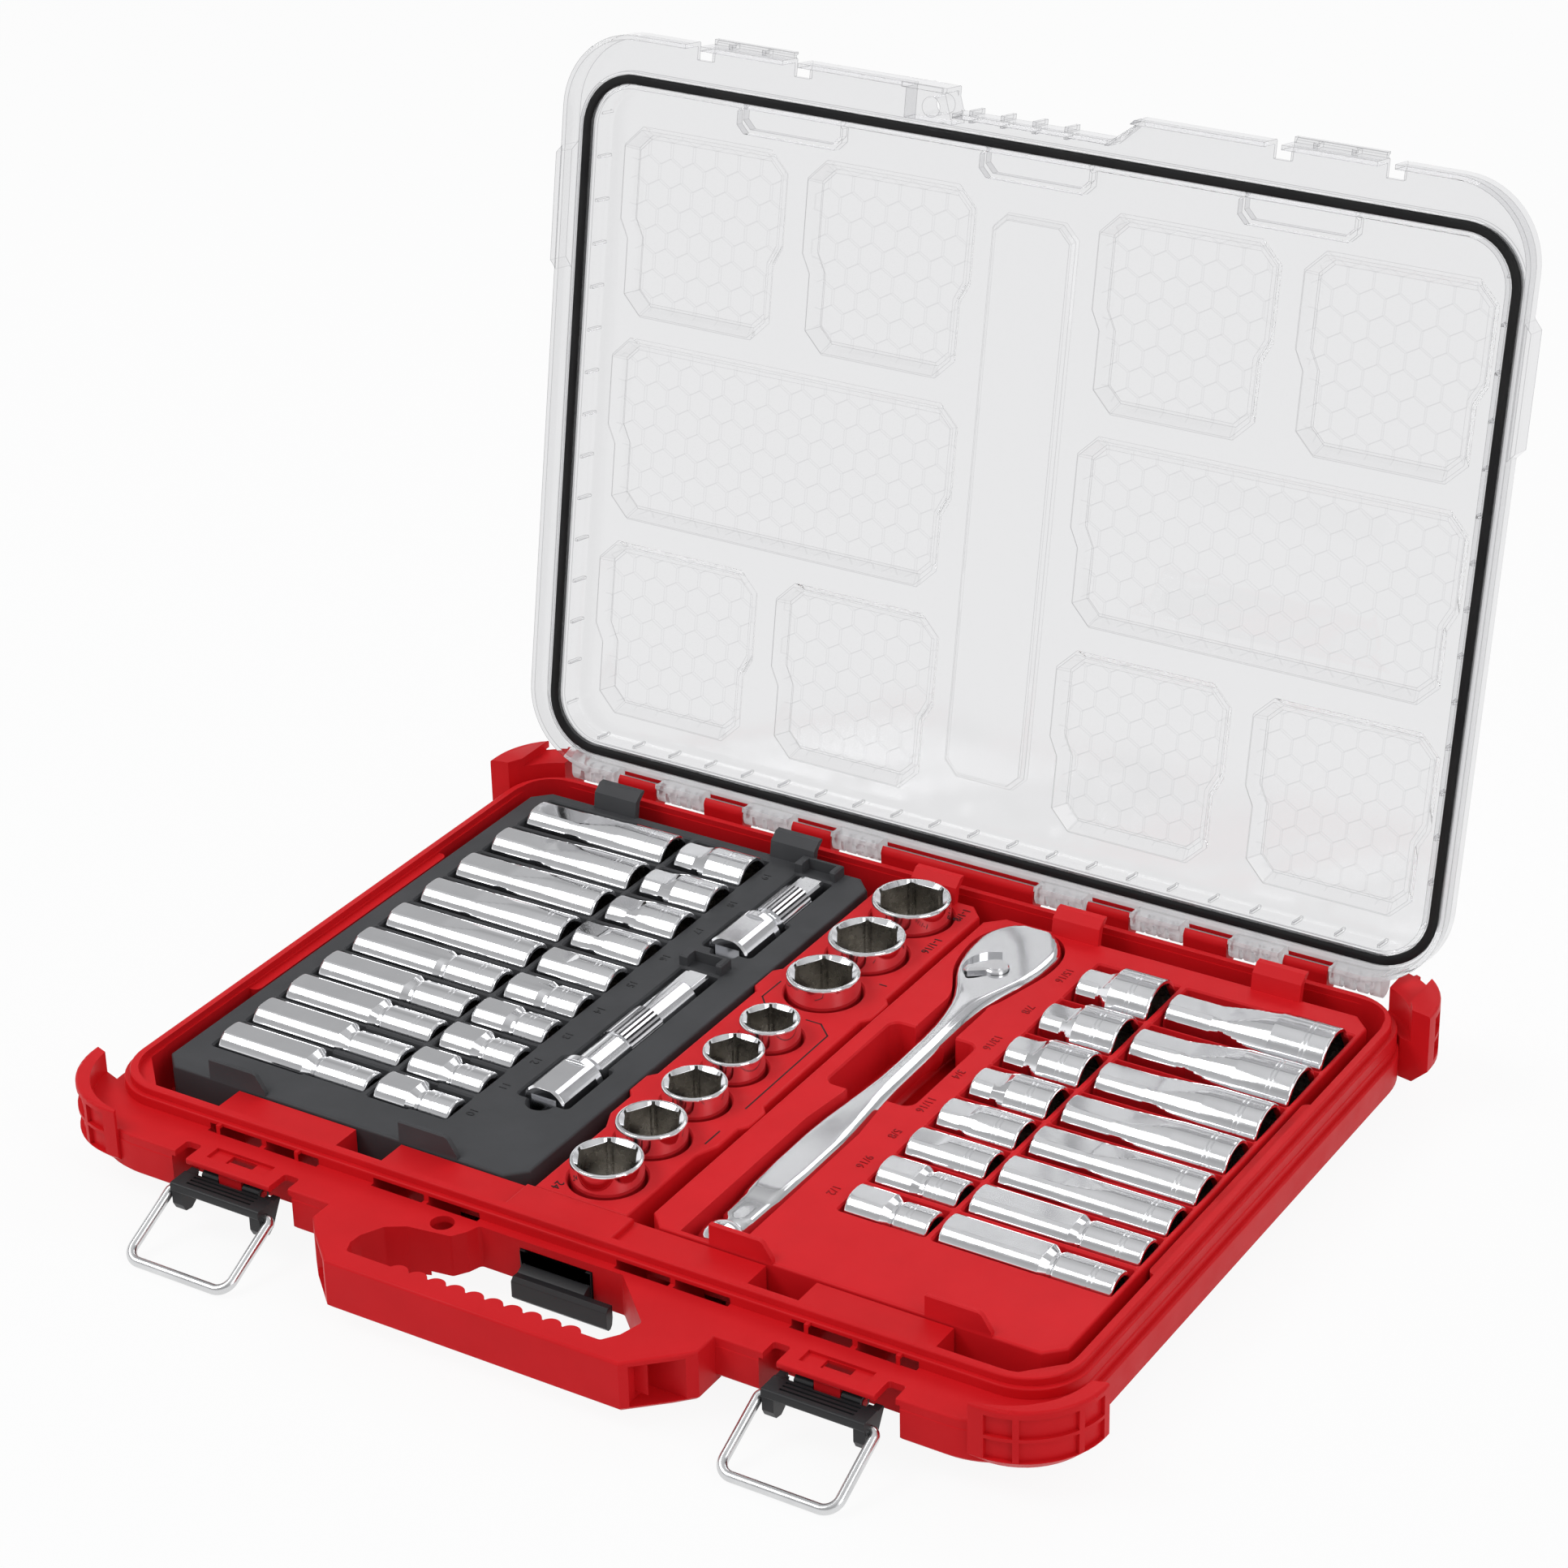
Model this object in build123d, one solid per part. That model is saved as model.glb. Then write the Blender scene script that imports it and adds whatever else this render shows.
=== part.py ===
from build123d import *
import math
import os

os.makedirs("parts", exist_ok=True)

# Socket wrench set in a hinged case, millimetres.
# +X runs along the hinge, +Y from the handle to the hinge, +Z up.
# Everything is modelled about the top of the rim and lifted by RIM_Z at the end,
# so the origin is the centre of the case's flat underside.

# ---------------------------------------------------------------- driving dimensions
RIM_Z = 40.0  # height of the rim's crest over the underside

# case, half widths along x and edges along y
RIM_X = 234.6
RIM_Y = 165.5
RIM_LAND = 3.6  # width of the crest that the seal meets
RIM_RADIUS = 25.0
STEP_OUT = 2.6  # step outside the crest
STEP_Z = -3.5
FLANGE_Z = -8.2  # flat flange around the rim
SIDE_Z = -12.0  # the side walls start lower than the flange
BODY_X = 240.0
LIP_Y = -189.5  # front lip
WALL_Y = -172.0  # body wall behind the handle
BACK_Y = 174.0
BODY_RADIUS = 40.0
SHELF_Z = -28.0  # underside of the wide upper body
WALL = 2.4
CAVITY_X = 230.0
CAVITY_FRONT = -144.0
CAVITY_BACK = 161.5
SHELF_FLOOR_Z = -25.8
WELL_X = 186.5  # deeper well under the middle of the case
WELL_FRONT = -138.5
WELL_BACK = 156.5
KEEL_X = 76.5  # the well reaches further forward here
KEEL_FRONT = -146.5
WELL_SKIN = 3.5
LEDGE_Z = -3.0  # front ledge between the trays and the rim
SIDE_LEDGE_X = 225.4
SIDE_LEDGE_Z = -4.0

# trays
TRAY_TOP = -2.0
TRAY_SKIN = 3.0
TRAY_FOOT = -25.5
TRAY_WALL = 2.2
TRAY_FRONT = -143.0
TRAY_BACK = 150.5
TRAY_CORNER = 8.0
METRIC_LEFT = -223.0
METRIC_RIGHT = -31.0
SAE_LEFT = 31.0
SAE_RIGHT = 224.2
MIDDLE_X = 27.4
MIDDLE_BULGE = 30.6
MIDDLE_NOSE = 23.0
CUP_WALL = 1.6
REST_GAP = 0.3  # between a loose piece and what it lies on

# sockets: half-inch square drive, flats on the drive end
SQUARE = 12.7
SQUARE_FIT = 0.15
DRIVE_OD = 22.4
DRIVE_FLATS = 20.0
DEEP = 79.0
SHORT = 38.5
LYING_Z = -8.0  # axis of the sockets that lie in the trays
UPRIGHT_TOP = 8.2
ROW_GAP = 4.3
SAE_ROW_GAP = 3.35
METRIC_FIRST_Y = -109.3
SAE_FIRST_Y = -84.5
METRIC_DEEP_X = -210.0
METRIC_SHORT_X = -125.0
SAE_SHORT_X = 97.2
SAE_DEEP_X = 141.8
INCH = 25.4

# hinge
HINGE_Y = 176.5
HINGE_Z = 0.0
HINGE_PIN_R = 2.5
HINGE_FIT = 0.05
OPEN_ANGLE = 100.34
CLIP_R = 4.2
CLIP_MOUTH = 4.2
CLIP_HALF = 11.0
CENTRE_CLIP_HALF = 41.0
KNUCKLE_HALF = 12.5
KNUCKLE_R = 5.4
HINGE_PITCH = 50.0
FIRST_KNUCKLE_X = 55.0

# lid, described closed
LID_X = 243.7
LID_FRONT = -188.0
LID_BACK = 174.0
LID_RADIUS = 38.0
LID_SKIRT_Z = -7.0
LID_FRONT_SKIRT_Z = -7.8
LID_FLANGE_Z = 4.3
LID_SKIN = 2.2
LID_WALL_X = 230.5
LID_WALL_Y = 161.4
LID_WALL_FOOT = 1.2
LID_WALL_RADIUS = 21.0
LID_PLATE_Z = 14.7
DOME_Z = 21.4
DOME_DRAFT = 4.5
STRIP_HALF = 22.0
STRIP_Z = 12.0
SEAL_X = 235.0
SEAL_Y = 165.5
SEAL_WIDTH = 5.0
SEAL_FOOT = 0.3
SEAL_RIB = 1.3

# handle, padlock ear and grip
HANDLE_FRONT = -224.0
HANDLE_FOOT = -32.0
GRIP_Y = -214.0
EAR_X = -45.8
EAR_Y = -177.6
EAR_R = 5.2
SCALLOPS = 10
SCALLOP_PITCH = 9.4
SCALLOP_R = 4.6

# latches
LATCH_X = 147.5
BAY_HALF = 32.1
LEVER_HALF = 23.5
LEVER_PIVOT_Y = -187.5
LEVER_PIVOT_Z = -17.0
LEVER_PIN_R = 2.0
LEVER_FIT = 0.05
LEVER_REACH = 14.6
LEVER_THICK = 4.4
BAIL_PIVOT_Y = -197.5
BAIL_PIVOT_Z = -20.8
BAIL_R = 2.3
BAIL_FIT = 0.06
BAIL_HALF = 26.4  # leg centrelines from the latch's middle
BAIL_LENGTH = 37.0
FLOOR_GAP = 0.15
LATCH_PLATE_Z = -11.2

# centre latch
CATCH_X0 = -11.0
CATCH_X1 = 25.0
CATCH_Z0 = -27.0
CATCH_Z1 = -12.0
CATCH_DEPTH = 17.0
CATCH_GAP = 0.5

# corner guards
GUARD_X = 251.0
GUARD_Y = 190.0
GUARD_RADIUS = 37.0
GUARD_GAP = 0.9
GUARD_START = 209.7

# ratchet and extensions
RATCHET_X = 61.0
HEAD_X = 58.0
HEAD_Y = 126.0
HEAD_R = 20.6
RATCHET_TOP = 0.5
HEAD_THICK = 23.5
RATCHET_END = -139.5
SELECTOR_X = 59.5
SELECTOR_Y = 103.8
EXT_X = -57.8
EXT_Z = -7.0
EXT_OD = 23.5
EXT_SHAFT = 17.0


DRIVE_REACH = {DEEP: 48.0, SHORT: 20.0}  # length of a small socket's drive end
LONG_Y0, LONG_Y1, LONG_SOCKET = -86.0, 38.0, 34.0
SHORT_Y0, SHORT_Y1, SHORT_SOCKET = 62.0, 138.0, 33.0
SELECTOR_R = 4.0
SELECTOR_ANGLE = 216.0  # where the selector's arm points, from +x
ANVIL_R = 8.6
ANVIL_FOOT = -34.2
SPIN_FIT = 0.05


# ---------------------------------------------------------------- shapes
def block(x0, x1, y0, y1, z0, z1):
    """Box between two corners."""
    middle = Pos((x0 + x1) / 2, (y0 + y1) / 2, (z0 + z1) / 2)
    return middle * Box(abs(x1 - x0), abs(y1 - y0), abs(z1 - z0))


def slab(points, z0, z1):
    """Upright prism on a closed outline in x and y."""
    face = make_face(Polyline(*points, close=True))
    return Pos(0, 0, z0) * extrude(face, z1 - z0, dir=(0, 0, 1))


def tablet(x0, x1, y0, y1, radius, z0, z1):
    """Upright prism on a rectangle with round corners."""
    face = Pos((x0 + x1) / 2, (y0 + y1) / 2) * RectangleRounded(abs(x1 - x0), abs(y1 - y0), radius)
    return Pos(0, 0, z0) * extrude(face, z1 - z0, dir=(0, 0, 1))


def along_x(points, x0, x1):
    """Prism along x on a closed outline given as (y, z)."""
    face = make_face(Polyline(*[(x0, y, z) for y, z in points], close=True))
    return extrude(face, abs(x1 - x0), dir=(1, 0, 0))


def along_y(points, y0, y1):
    """Prism along y on a closed outline given as (x, z)."""
    face = make_face(Polyline(*[(x, y0, z) for x, z in points], close=True))
    return extrude(face, abs(y1 - y0), dir=(0, 1, 0))


def rod_x(radius, x0, x1, y, z):
    """Cylinder along x."""
    return Pos((x0 + x1) / 2, y, z) * Rot(0, 90, 0) * Cylinder(radius, abs(x1 - x0))


def rod_z(radius, x, y, z0, z1):
    """Upright cylinder."""
    return Pos(x, y, (z0 + z1) / 2) * Cylinder(radius, abs(z1 - z0))


def level_edges(part, z):
    """Edges that lie at one height."""
    return [e for e in part.edges() if abs(e.bounding_box().min.Z - z) < 1e-4
            and abs(e.bounding_box().max.Z - z) < 1e-4]


def one(part):
    """The single solid of a part."""
    solids = part.solids()
    return max(solids, key=lambda s: s.volume)


def save(name, part, note=""):
    """Lift a finished piece to the frame of the underside and write it."""
    solid = Pos(0, 0, RIM_Z) * one(part)
    export_step(solid, f"parts/{name}.step")
    box = solid.bounding_box()
    extra = [round(s.volume, 3) for s in part.solids()[1:]]
    print(f"{name:28s} {box.size.X:8.2f} {box.size.Y:8.2f} {box.size.Z:8.2f}"
          f" vol {solid.volume / 1000:9.2f} cm3 {extra or str()} {note}", flush=True)


SIDES = (-1, 1)


# ---------------------------------------------------------------- case base
def make_base():
    """Red case half: rim, flange, handle, latch bays, hinge clips and guards."""
    body = tablet(-BODY_X, BODY_X, LIP_Y, BACK_Y, BODY_RADIUS, SHELF_Z, SIDE_Z)
    body = chamfer(level_edges(body, SHELF_Z), 2.0)
    body = fillet(level_edges(body, SIDE_Z), 1.0)
    shoulder_x = RIM_X + STEP_OUT + 0.5
    shoulder = tablet(-shoulder_x, shoulder_x, LIP_Y + 0.2, BACK_Y - 0.2, BODY_RADIUS - 2,
                      SHELF_Z + 4, FLANGE_Z)
    shoulder = fillet(level_edges(shoulder, FLANGE_Z), 0.8)
    step_x, step_y = RIM_X + STEP_OUT, RIM_Y + STEP_OUT - 0.5
    step = tablet(-step_x, step_x, -step_y, step_y, RIM_RADIUS + 2, SIDE_Z, STEP_Z)
    step = fillet(level_edges(step, STEP_Z), 0.7)
    crest = tablet(-RIM_X, RIM_X, -RIM_Y, RIM_Y, RIM_RADIUS, SIDE_Z, 0)
    crest = fillet(level_edges(crest, 0), 0.9)
    keel = tablet(-WELL_X - WELL_SKIN, WELL_X + WELL_SKIN, WELL_FRONT - WELL_SKIN,
                  WELL_BACK + WELL_SKIN, 10, -RIM_Z, SHELF_Z + 1)
    keel += tablet(-KEEL_X - WELL_SKIN, KEEL_X + WELL_SKIN, KEEL_FRONT - WELL_SKIN, 0, 8,
                   -RIM_Z, SHELF_Z + 1)
    keel = chamfer(level_edges(keel, -RIM_Z), 1.5)
    base = body + [shoulder, step, crest, keel]

    # handle
    grip = slab([(-96, LIP_Y + 4), (-96, -200), (-88, -209), (-72, HANDLE_FRONT),
                 (72, HANDLE_FRONT), (88, -209), (95, -201.5), (95, LIP_Y + 4)],
                HANDLE_FOOT, FLANGE_Z)
    grip = chamfer(level_edges(grip, HANDLE_FOOT), 2.0)
    grip = fillet(level_edges(grip, FLANGE_Z), 1.4)
    base += grip

    # cavity for the trays, its shelf and the deeper well
    crest_x, crest_y = RIM_X - RIM_LAND, RIM_Y - RIM_LAND
    inside = tablet(-crest_x, crest_x, -crest_y, crest_y, RIM_RADIUS - 3, LEDGE_Z, 1)
    cavity = tablet(-CAVITY_X, CAVITY_X, CAVITY_FRONT, CAVITY_BACK, 16, SHELF_FLOOR_Z, 1)
    corners = []
    for side in SIDES:
        cavity -= tablet(side * SIDE_LEDGE_X, side * (CAVITY_X + 12), -71, 76, 3.5,
                         SHELF_Z, SIDE_LEDGE_Z)
        corners.append(block(side * 91, side * 115, -159, CAVITY_FRONT + 1, SHELF_FLOOR_Z, 1))
        corners.append(slab([(side * 178, CAVITY_FRONT + 1), (side * 178, -159),
                             (side * 212, -159), (side * 229.5, -141), (side * 229.5, -120)],
                            SHELF_FLOOR_Z, 1))
    well = tablet(-WELL_X, WELL_X, WELL_FRONT, WELL_BACK, 7, -RIM_Z + WELL_SKIN, 0)
    well += tablet(-KEEL_X, KEEL_X, KEEL_FRONT, 0, 5, -RIM_Z + WELL_SKIN, SHELF_FLOOR_Z + 0.5)
    base = base - [inside, cavity, well] - corners

    # raised block in front of the middle tray, and ribs across the step
    brow = block(-25, 28, -163, -145.2, LEDGE_Z - 2, -0.2)
    brow = fillet(level_edges(brow, -0.2), 1.0)
    base += brow
    ribs = [block(side * LATCH_X + dx - 0.9, side * LATCH_X + dx + 0.9, -170, -164,
                  FLANGE_Z - 1, STEP_Z - 0.4) for side in SIDES for dx in (-22, 20)]
    base += ribs

    # hollow the thick front from below, leaving ribs
    hollows = []
    for side in SIDES:
        for x0, x1 in ((34, 60), (62.4, 88.6), (117.4, 145.4), (147.8, 175.6)):
            hollows.append(block(side * x0, side * x1, WALL_Y + WALL, CAVITY_FRONT - WALL,
                                 SHELF_Z - 1, LEDGE_Z - WALL))
        hollows.append(block(side * 183, side * 206, LIP_Y + WALL, -162, SHELF_Z - 1,
                             FLANGE_Z - WALL))
        hollows.append(block(side * 98.5, side * 113, LIP_Y + WALL, -162, SHELF_Z - 1,
                             FLANGE_Z - WALL))
        for y0, y1 in ((-138, -104), (-101, -68), (-65, -32), (-29, 4), (7, 40),
                       (43, 76), (79, 112), (115, 146)):
            hollows.append(block(side * (CAVITY_X + WALL), side * (BODY_X - WALL), y0, y1,
                                 SHELF_Z - 1, SIDE_Z - WALL))
    base -= hollows

    # latch bays with their top plates, slots and pivot brackets
    for side in SIDES:
        middle = side * LATCH_X
        bay = block(middle - BAY_HALF, middle + BAY_HALF, -196, -173.6, SHELF_Z - 5,
                    LATCH_PLATE_Z)
        base -= bay
        plate = block(middle - 22.2, middle + 22.2, -192, -173, LATCH_PLATE_Z, FLANGE_Z)
        plate = fillet(plate.edges().filter_by(Axis.X).sort_by(Axis.Y)[0:2], 0.9)
        base += plate
        for dx in (-26.2, 26.2):
            base -= tablet(middle + dx - 4, middle + dx + 4, -196, -180.6, 1.5,
                           LATCH_PLATE_Z - 1, FLANGE_Z + 1)
        base -= block(middle - 15.4, middle + 15.4, -186.5, -178.5, FLANGE_Z - 1.4,
                      FLANGE_Z + 1)
        base -= block(middle - 6.5, middle + 6.5, -186, -179, LATCH_PLATE_Z - 1,
                      FLANGE_Z + 1)
        bracket = along_x([(-182.6, LATCH_PLATE_Z + 1), (-190.6, LATCH_PLATE_Z + 1),
                           (-190.6, -18), (-189, -20), (-186, -20), (-182.6, -17)],
                          middle - 6, middle + 6)
        pin = rod_x(LEVER_PIN_R, middle - 15.5, middle + 15.5, LEVER_PIVOT_Y, LEVER_PIVOT_Z)
        base += [bracket, pin]

    # hand opening with its scalloped grip, and the padlock ear's hole
    opening = slab([(-68, GRIP_Y), (-70.4, -208), (-70, -202), (-65, -192), (-57, -187),
                    (-37, -184), (-33, -178), (-31, WALL_Y), (40, WALL_Y), (65, -196),
                    (62, -207), (57, GRIP_Y)], HANDLE_FOOT - 1, 1)
    opening = fillet(opening.edges().filter_by(Axis.Z), 2.0)
    opening -= [rod_z(SCALLOP_R, -41 + n * SCALLOP_PITCH, GRIP_Y - 1.6, HANDLE_FOOT - 1, 1)
                for n in range(SCALLOPS)]
    base -= opening
    base -= rod_z(EAR_R, EAR_X, EAR_Y, SHELF_Z - 9, 1)
    base -= rod_z(EAR_R + 1.6, EAR_X, EAR_Y, SHELF_Z - 9, -11.4)

    # pockets in the slanted ends of the handle
    for side in SIDES:
        base -= block(side * 73.5, side * 99, HANDLE_FRONT + 2.7, -205.2, HANDLE_FOOT + 2.4,
                      FLANGE_Z - 2.3)
        base += slab([(side * 73, -215.2), (side * 80, -215.2), (side * 73, -213)],
                     HANDLE_FOOT + 6, FLANGE_Z - 2)

    # opening and pocket of the centre latch
    base -= block(CATCH_X0, CATCH_X1, WALL_Y - 2, WALL_Y + CATCH_DEPTH, CATCH_Z0, CATCH_Z1)

    # corner guards stand round the closed lid's corners
    lid_shape = tablet(-LID_X - GUARD_GAP, LID_X + GUARD_GAP, LID_FRONT - GUARD_GAP,
                       LID_BACK + GUARD_GAP, LID_RADIUS + GUARD_GAP, FLANGE_Z, 30)
    core = tablet(-BODY_X + 3, BODY_X - 3, LIP_Y + 3, BACK_Y - 3, BODY_RADIUS, -60, FLANGE_Z)
    for side in SIDES:
        ring = tablet(-GUARD_X, GUARD_X, -GUARD_Y, GUARD_Y, GUARD_RADIUS, SHELF_Z, 2.0)
        ring = chamfer(level_edges(ring, SHELF_Z), 6.0)
        ring = fillet(level_edges(ring, 2.0), 1.5)
        front = ring & slab([(side * GUARD_START, -195), (side * 256, -195),
                             (side * 256, -150), (side * 232, -158), (side * GUARD_START, -180)],
                            -60, 20)
        front -= [lid_shape, core]
        tall = tablet(-GUARD_X, GUARD_X, -GUARD_Y, GUARD_Y, GUARD_RADIUS, SHELF_Z, 8.0)
        tall = chamfer(level_edges(tall, SHELF_Z), 8.0)
        tall = fillet(level_edges(tall, 8.0), 1.2)
        back = tall & slab([(side * 222, 195), (side * 256, 195), (side * 256, 148),
                            (side * 236, 152), (side * 222, 168)], -60, 20)
        back -= [lid_shape, core, slab([(side * 200, 198), (side * 238, 198),
                                        (side * 238, 140), (side * 200, 140)], 3.5, 20)]
        for guard, heights, start in ((front, ((-10.6, -1.4), (-21.6, -12.2)), -90),
                                      (back, ((-6.0, 4.0), (-17.5, -8.0)), 0)):
            sign = -1 if start else 1
            skin = tablet(-GUARD_X + 1.8, GUARD_X - 1.8, -GUARD_Y + 1.8, GUARD_Y - 1.8,
                          GUARD_RADIUS - 1.8, -60, 20)
            cx, cy = side * (GUARD_X - GUARD_RADIUS), sign * (GUARD_Y - GUARD_RADIUS)
            for z0, z1 in heights:
                for a0, a1 in ((4, 22), (26, 64), (68, 86)):
                    far = 70
                    wedge = slab([(cx, cy),
                                  (cx + side * far * math.cos(math.radians(a0)),
                                   cy + sign * far * math.sin(math.radians(a0))),
                                  (cx + side * far * math.cos(math.radians(a1)),
                                   cy + sign * far * math.sin(math.radians(a1)))], z0, z1)
                    guard -= wedge - skin
            base += guard

    # hinge clips: snap rings open upward on short necks
    clips = [(0, CENTRE_CLIP_HALF)]
    clips += [(side * (FIRST_KNUCKLE_X + HINGE_PITCH / 2 + n * HINGE_PITCH), CLIP_HALF)
              for side in SIDES for n in range(3)]
    for middle, half in clips:
        neck = along_x([(BACK_Y - 1.5, -14), (BACK_Y - 1.5, -2), (HINGE_Y - CLIP_R, 0),
                        (HINGE_Y + CLIP_R, 0), (HINGE_Y + CLIP_R, -9), (BACK_Y, -16)],
                       middle - half, middle + half)
        ring = rod_x(CLIP_R, middle - half, middle + half, HINGE_Y, HINGE_Z)
        bore = rod_x(HINGE_PIN_R + HINGE_FIT, middle - half - 1, middle + half + 1, HINGE_Y,
                     HINGE_Z)
        mouth = block(middle - half - 1, middle + half + 1, HINGE_Y - CLIP_MOUTH / 2,
                      HINGE_Y + CLIP_MOUTH / 2, HINGE_Z, HINGE_Z + 9)
        base += neck + ring
        base -= bore + mouth
    return base


base = make_base()
save("case_base", base)


# ---------------------------------------------------------------- lid and seal
def opened(part):
    """Swing a closed lid piece to its open rest position."""
    return Pos(0, HINGE_Y, HINGE_Z) * Rot(-OPEN_ANGLE, 0, 0) * Pos(0, -HINGE_Y, -HINGE_Z) * part


def cut_corner(x0, x1, y0, y1, cut):
    """Rectangle with its four corners cut off."""
    return [(x0 + cut, y0), (x1 - cut, y0), (x1, y0 + cut), (x1, y1 - cut),
            (x1 - cut, y1), (x0 + cut, y1), (x0, y1 - cut), (x0, y0 + cut)]


def dome_outline(x0, x1, y0, y1, inset):
    """Outline of a dome: cut corners, and a narrower half towards the hinge."""
    jog, cut, middle = 4.5, 10.0, (y0 + y1) / 2 + 4
    x0, x1, y0, y1 = x0 + inset, x1 - inset, y0 + inset, y1 - inset
    cut -= inset * 0.6
    return [(x0 + cut, y0), (x1 - cut, y0), (x1, y0 + cut), (x1, middle - jog),
            (x1 - jog, middle + jog), (x1 - jog, y1 - cut), (x1 - jog - cut, y1),
            (x0 + jog + cut, y1), (x0 + jog, y1 - cut), (x0 + jog, middle + jog),
            (x0, middle - jog), (x0, y0 + cut)]


def frustum(lower, z0, upper, z1):
    """Tapered solid between two outlines of the same number of corners."""
    low = make_face(Polyline(*[(x, y, z0) for x, y in lower], close=True))
    high = make_face(Polyline(*[(x, y, z1) for x, y in upper], close=True))
    return loft([low, high], ruled=True)


def dome_places():
    """Corners of the ten domes, mirrored about the middle of the lid."""
    for side in SIDES:
        for y0, y1 in ((-142, -50), (62, 150.5)):
            for x0, x1 in ((31, 121.5), (131.6, 223.4)):
                yield min(side * x0, side * x1), max(side * x0, side * x1), y0, y1
        yield min(side * 31, side * 223.4), max(side * 31, side * 223.4), -39.7, 50.5


def make_lid():
    """Clear lid half, described closed."""
    wall_x, wall_y = LID_WALL_X + LID_SKIN, LID_WALL_Y + LID_SKIN
    plate_top = LID_PLATE_Z + LID_SKIN
    shell = tablet(-wall_x, wall_x, -wall_y, wall_y, LID_WALL_RADIUS + LID_SKIN, LID_WALL_FOOT,
                   plate_top)
    shell = fillet(level_edges(shell, plate_top), 3.0)
    hollow = tablet(-LID_WALL_X, LID_WALL_X, -LID_WALL_Y, LID_WALL_Y, LID_WALL_RADIUS,
                    LID_WALL_FOOT - 1, LID_PLATE_Z)
    hollow = fillet(level_edges(hollow, LID_PLATE_Z), 1.6)
    skirt = tablet(-LID_X, LID_X, LID_FRONT, LID_BACK, LID_RADIUS, LID_SKIRT_Z,
                   LID_FLANGE_Z + LID_SKIN)
    skirt = fillet(level_edges(skirt, LID_FLANGE_Z + LID_SKIN), 1.2)
    skirt -= tablet(-LID_X + LID_SKIN, LID_X - LID_SKIN, LID_FRONT + LID_SKIN,
                    LID_BACK - LID_SKIN, LID_RADIUS - LID_SKIN, LID_SKIRT_Z - 1, LID_FLANGE_Z)
    rib_x, rib_y = SEAL_X + SEAL_WIDTH / 2 + 0.3, SEAL_Y + SEAL_WIDTH / 2 + 0.3
    rib = tablet(-rib_x - SEAL_RIB, rib_x + SEAL_RIB, -rib_y - SEAL_RIB, rib_y + SEAL_RIB,
                 RIM_RADIUS + SEAL_WIDTH / 2 + 0.3 + SEAL_RIB, 1.0, LID_FLANGE_Z + 1)
    rib -= tablet(-rib_x, rib_x, -rib_y, rib_y, RIM_RADIUS + SEAL_WIDTH / 2 + 0.3, 0,
                  LID_FLANGE_Z)
    lid = shell + [skirt, rib] - hollow

    # inner centre channel and the three recesses along the front
    channel = cut_corner(-STRIP_HALF, STRIP_HALF, -133, 137, 7)
    channel_top = cut_corner(-STRIP_HALF + 2.6, STRIP_HALF - 2.6, -130.4, 134.4, 6)
    channel_in = cut_corner(-STRIP_HALF + 0.4, STRIP_HALF - 0.4, -132.6, 136.6, 7)
    lid += frustum(channel_top, STRIP_Z, channel_in, LID_PLATE_Z + 0.5)
    lid -= frustum(channel_top, STRIP_Z + LID_SKIN, channel, plate_top + 0.1)
    for middle in (-129, 0, 129):
        lid += slab(cut_corner(middle - 28.5, middle + 28.5, -162.5, -148, 4), 9.6,
                    LID_PLATE_Z + 0.5)
        lid -= slab(cut_corner(middle - 26.3, middle + 26.3, -170, -150.2, 4), 9.6 + LID_SKIN,
                    plate_top + 1)

    # domes
    for place in dome_places():
        lid += frustum(dome_outline(*place, 0), plate_top - 0.6,
                       dome_outline(*place, DOME_DRAFT), DOME_Z + LID_SKIN)
        lid -= frustum(dome_outline(*place, 1.6), LID_PLATE_Z - 0.1,
                       dome_outline(*place, DOME_DRAFT + 2), DOME_Z)
    panel = cut_corner(70, 190, -30, 38, 8)
    panel_in = cut_corner(72, 188, -28, 36, 7.4)
    lid += frustum(panel_in, DOME_Z - 0.9, panel, DOME_Z + 0.4)

    # stiffening ribs on the inner side of the walls
    ribs = []
    for n in range(-7, 8):
        for side in SIDES:
            ribs.append(block(side * (LID_WALL_X - 1.4), side * (LID_WALL_X + 1),
                              n * 21 - 0.6, n * 21 + 0.6, 5, LID_PLATE_Z + 0.5))
    for n in range(-10, 11):
        ribs.append(block(n * 21 - 0.6, n * 21 + 0.6, LID_WALL_Y - 1.4, LID_WALL_Y + 1, 5,
                          LID_PLATE_Z + 0.5))
    lid += ribs

    # side wings
    for side in SIDES:
        lid += slab([(side * (LID_X - 1), -132), (side * (LID_X + 3.3), -127),
                     (side * (LID_X + 3.3), -75), (side * (LID_X - 1), -70)],
                    LID_SKIRT_Z + 1, LID_FLANGE_Z + LID_SKIN)

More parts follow.
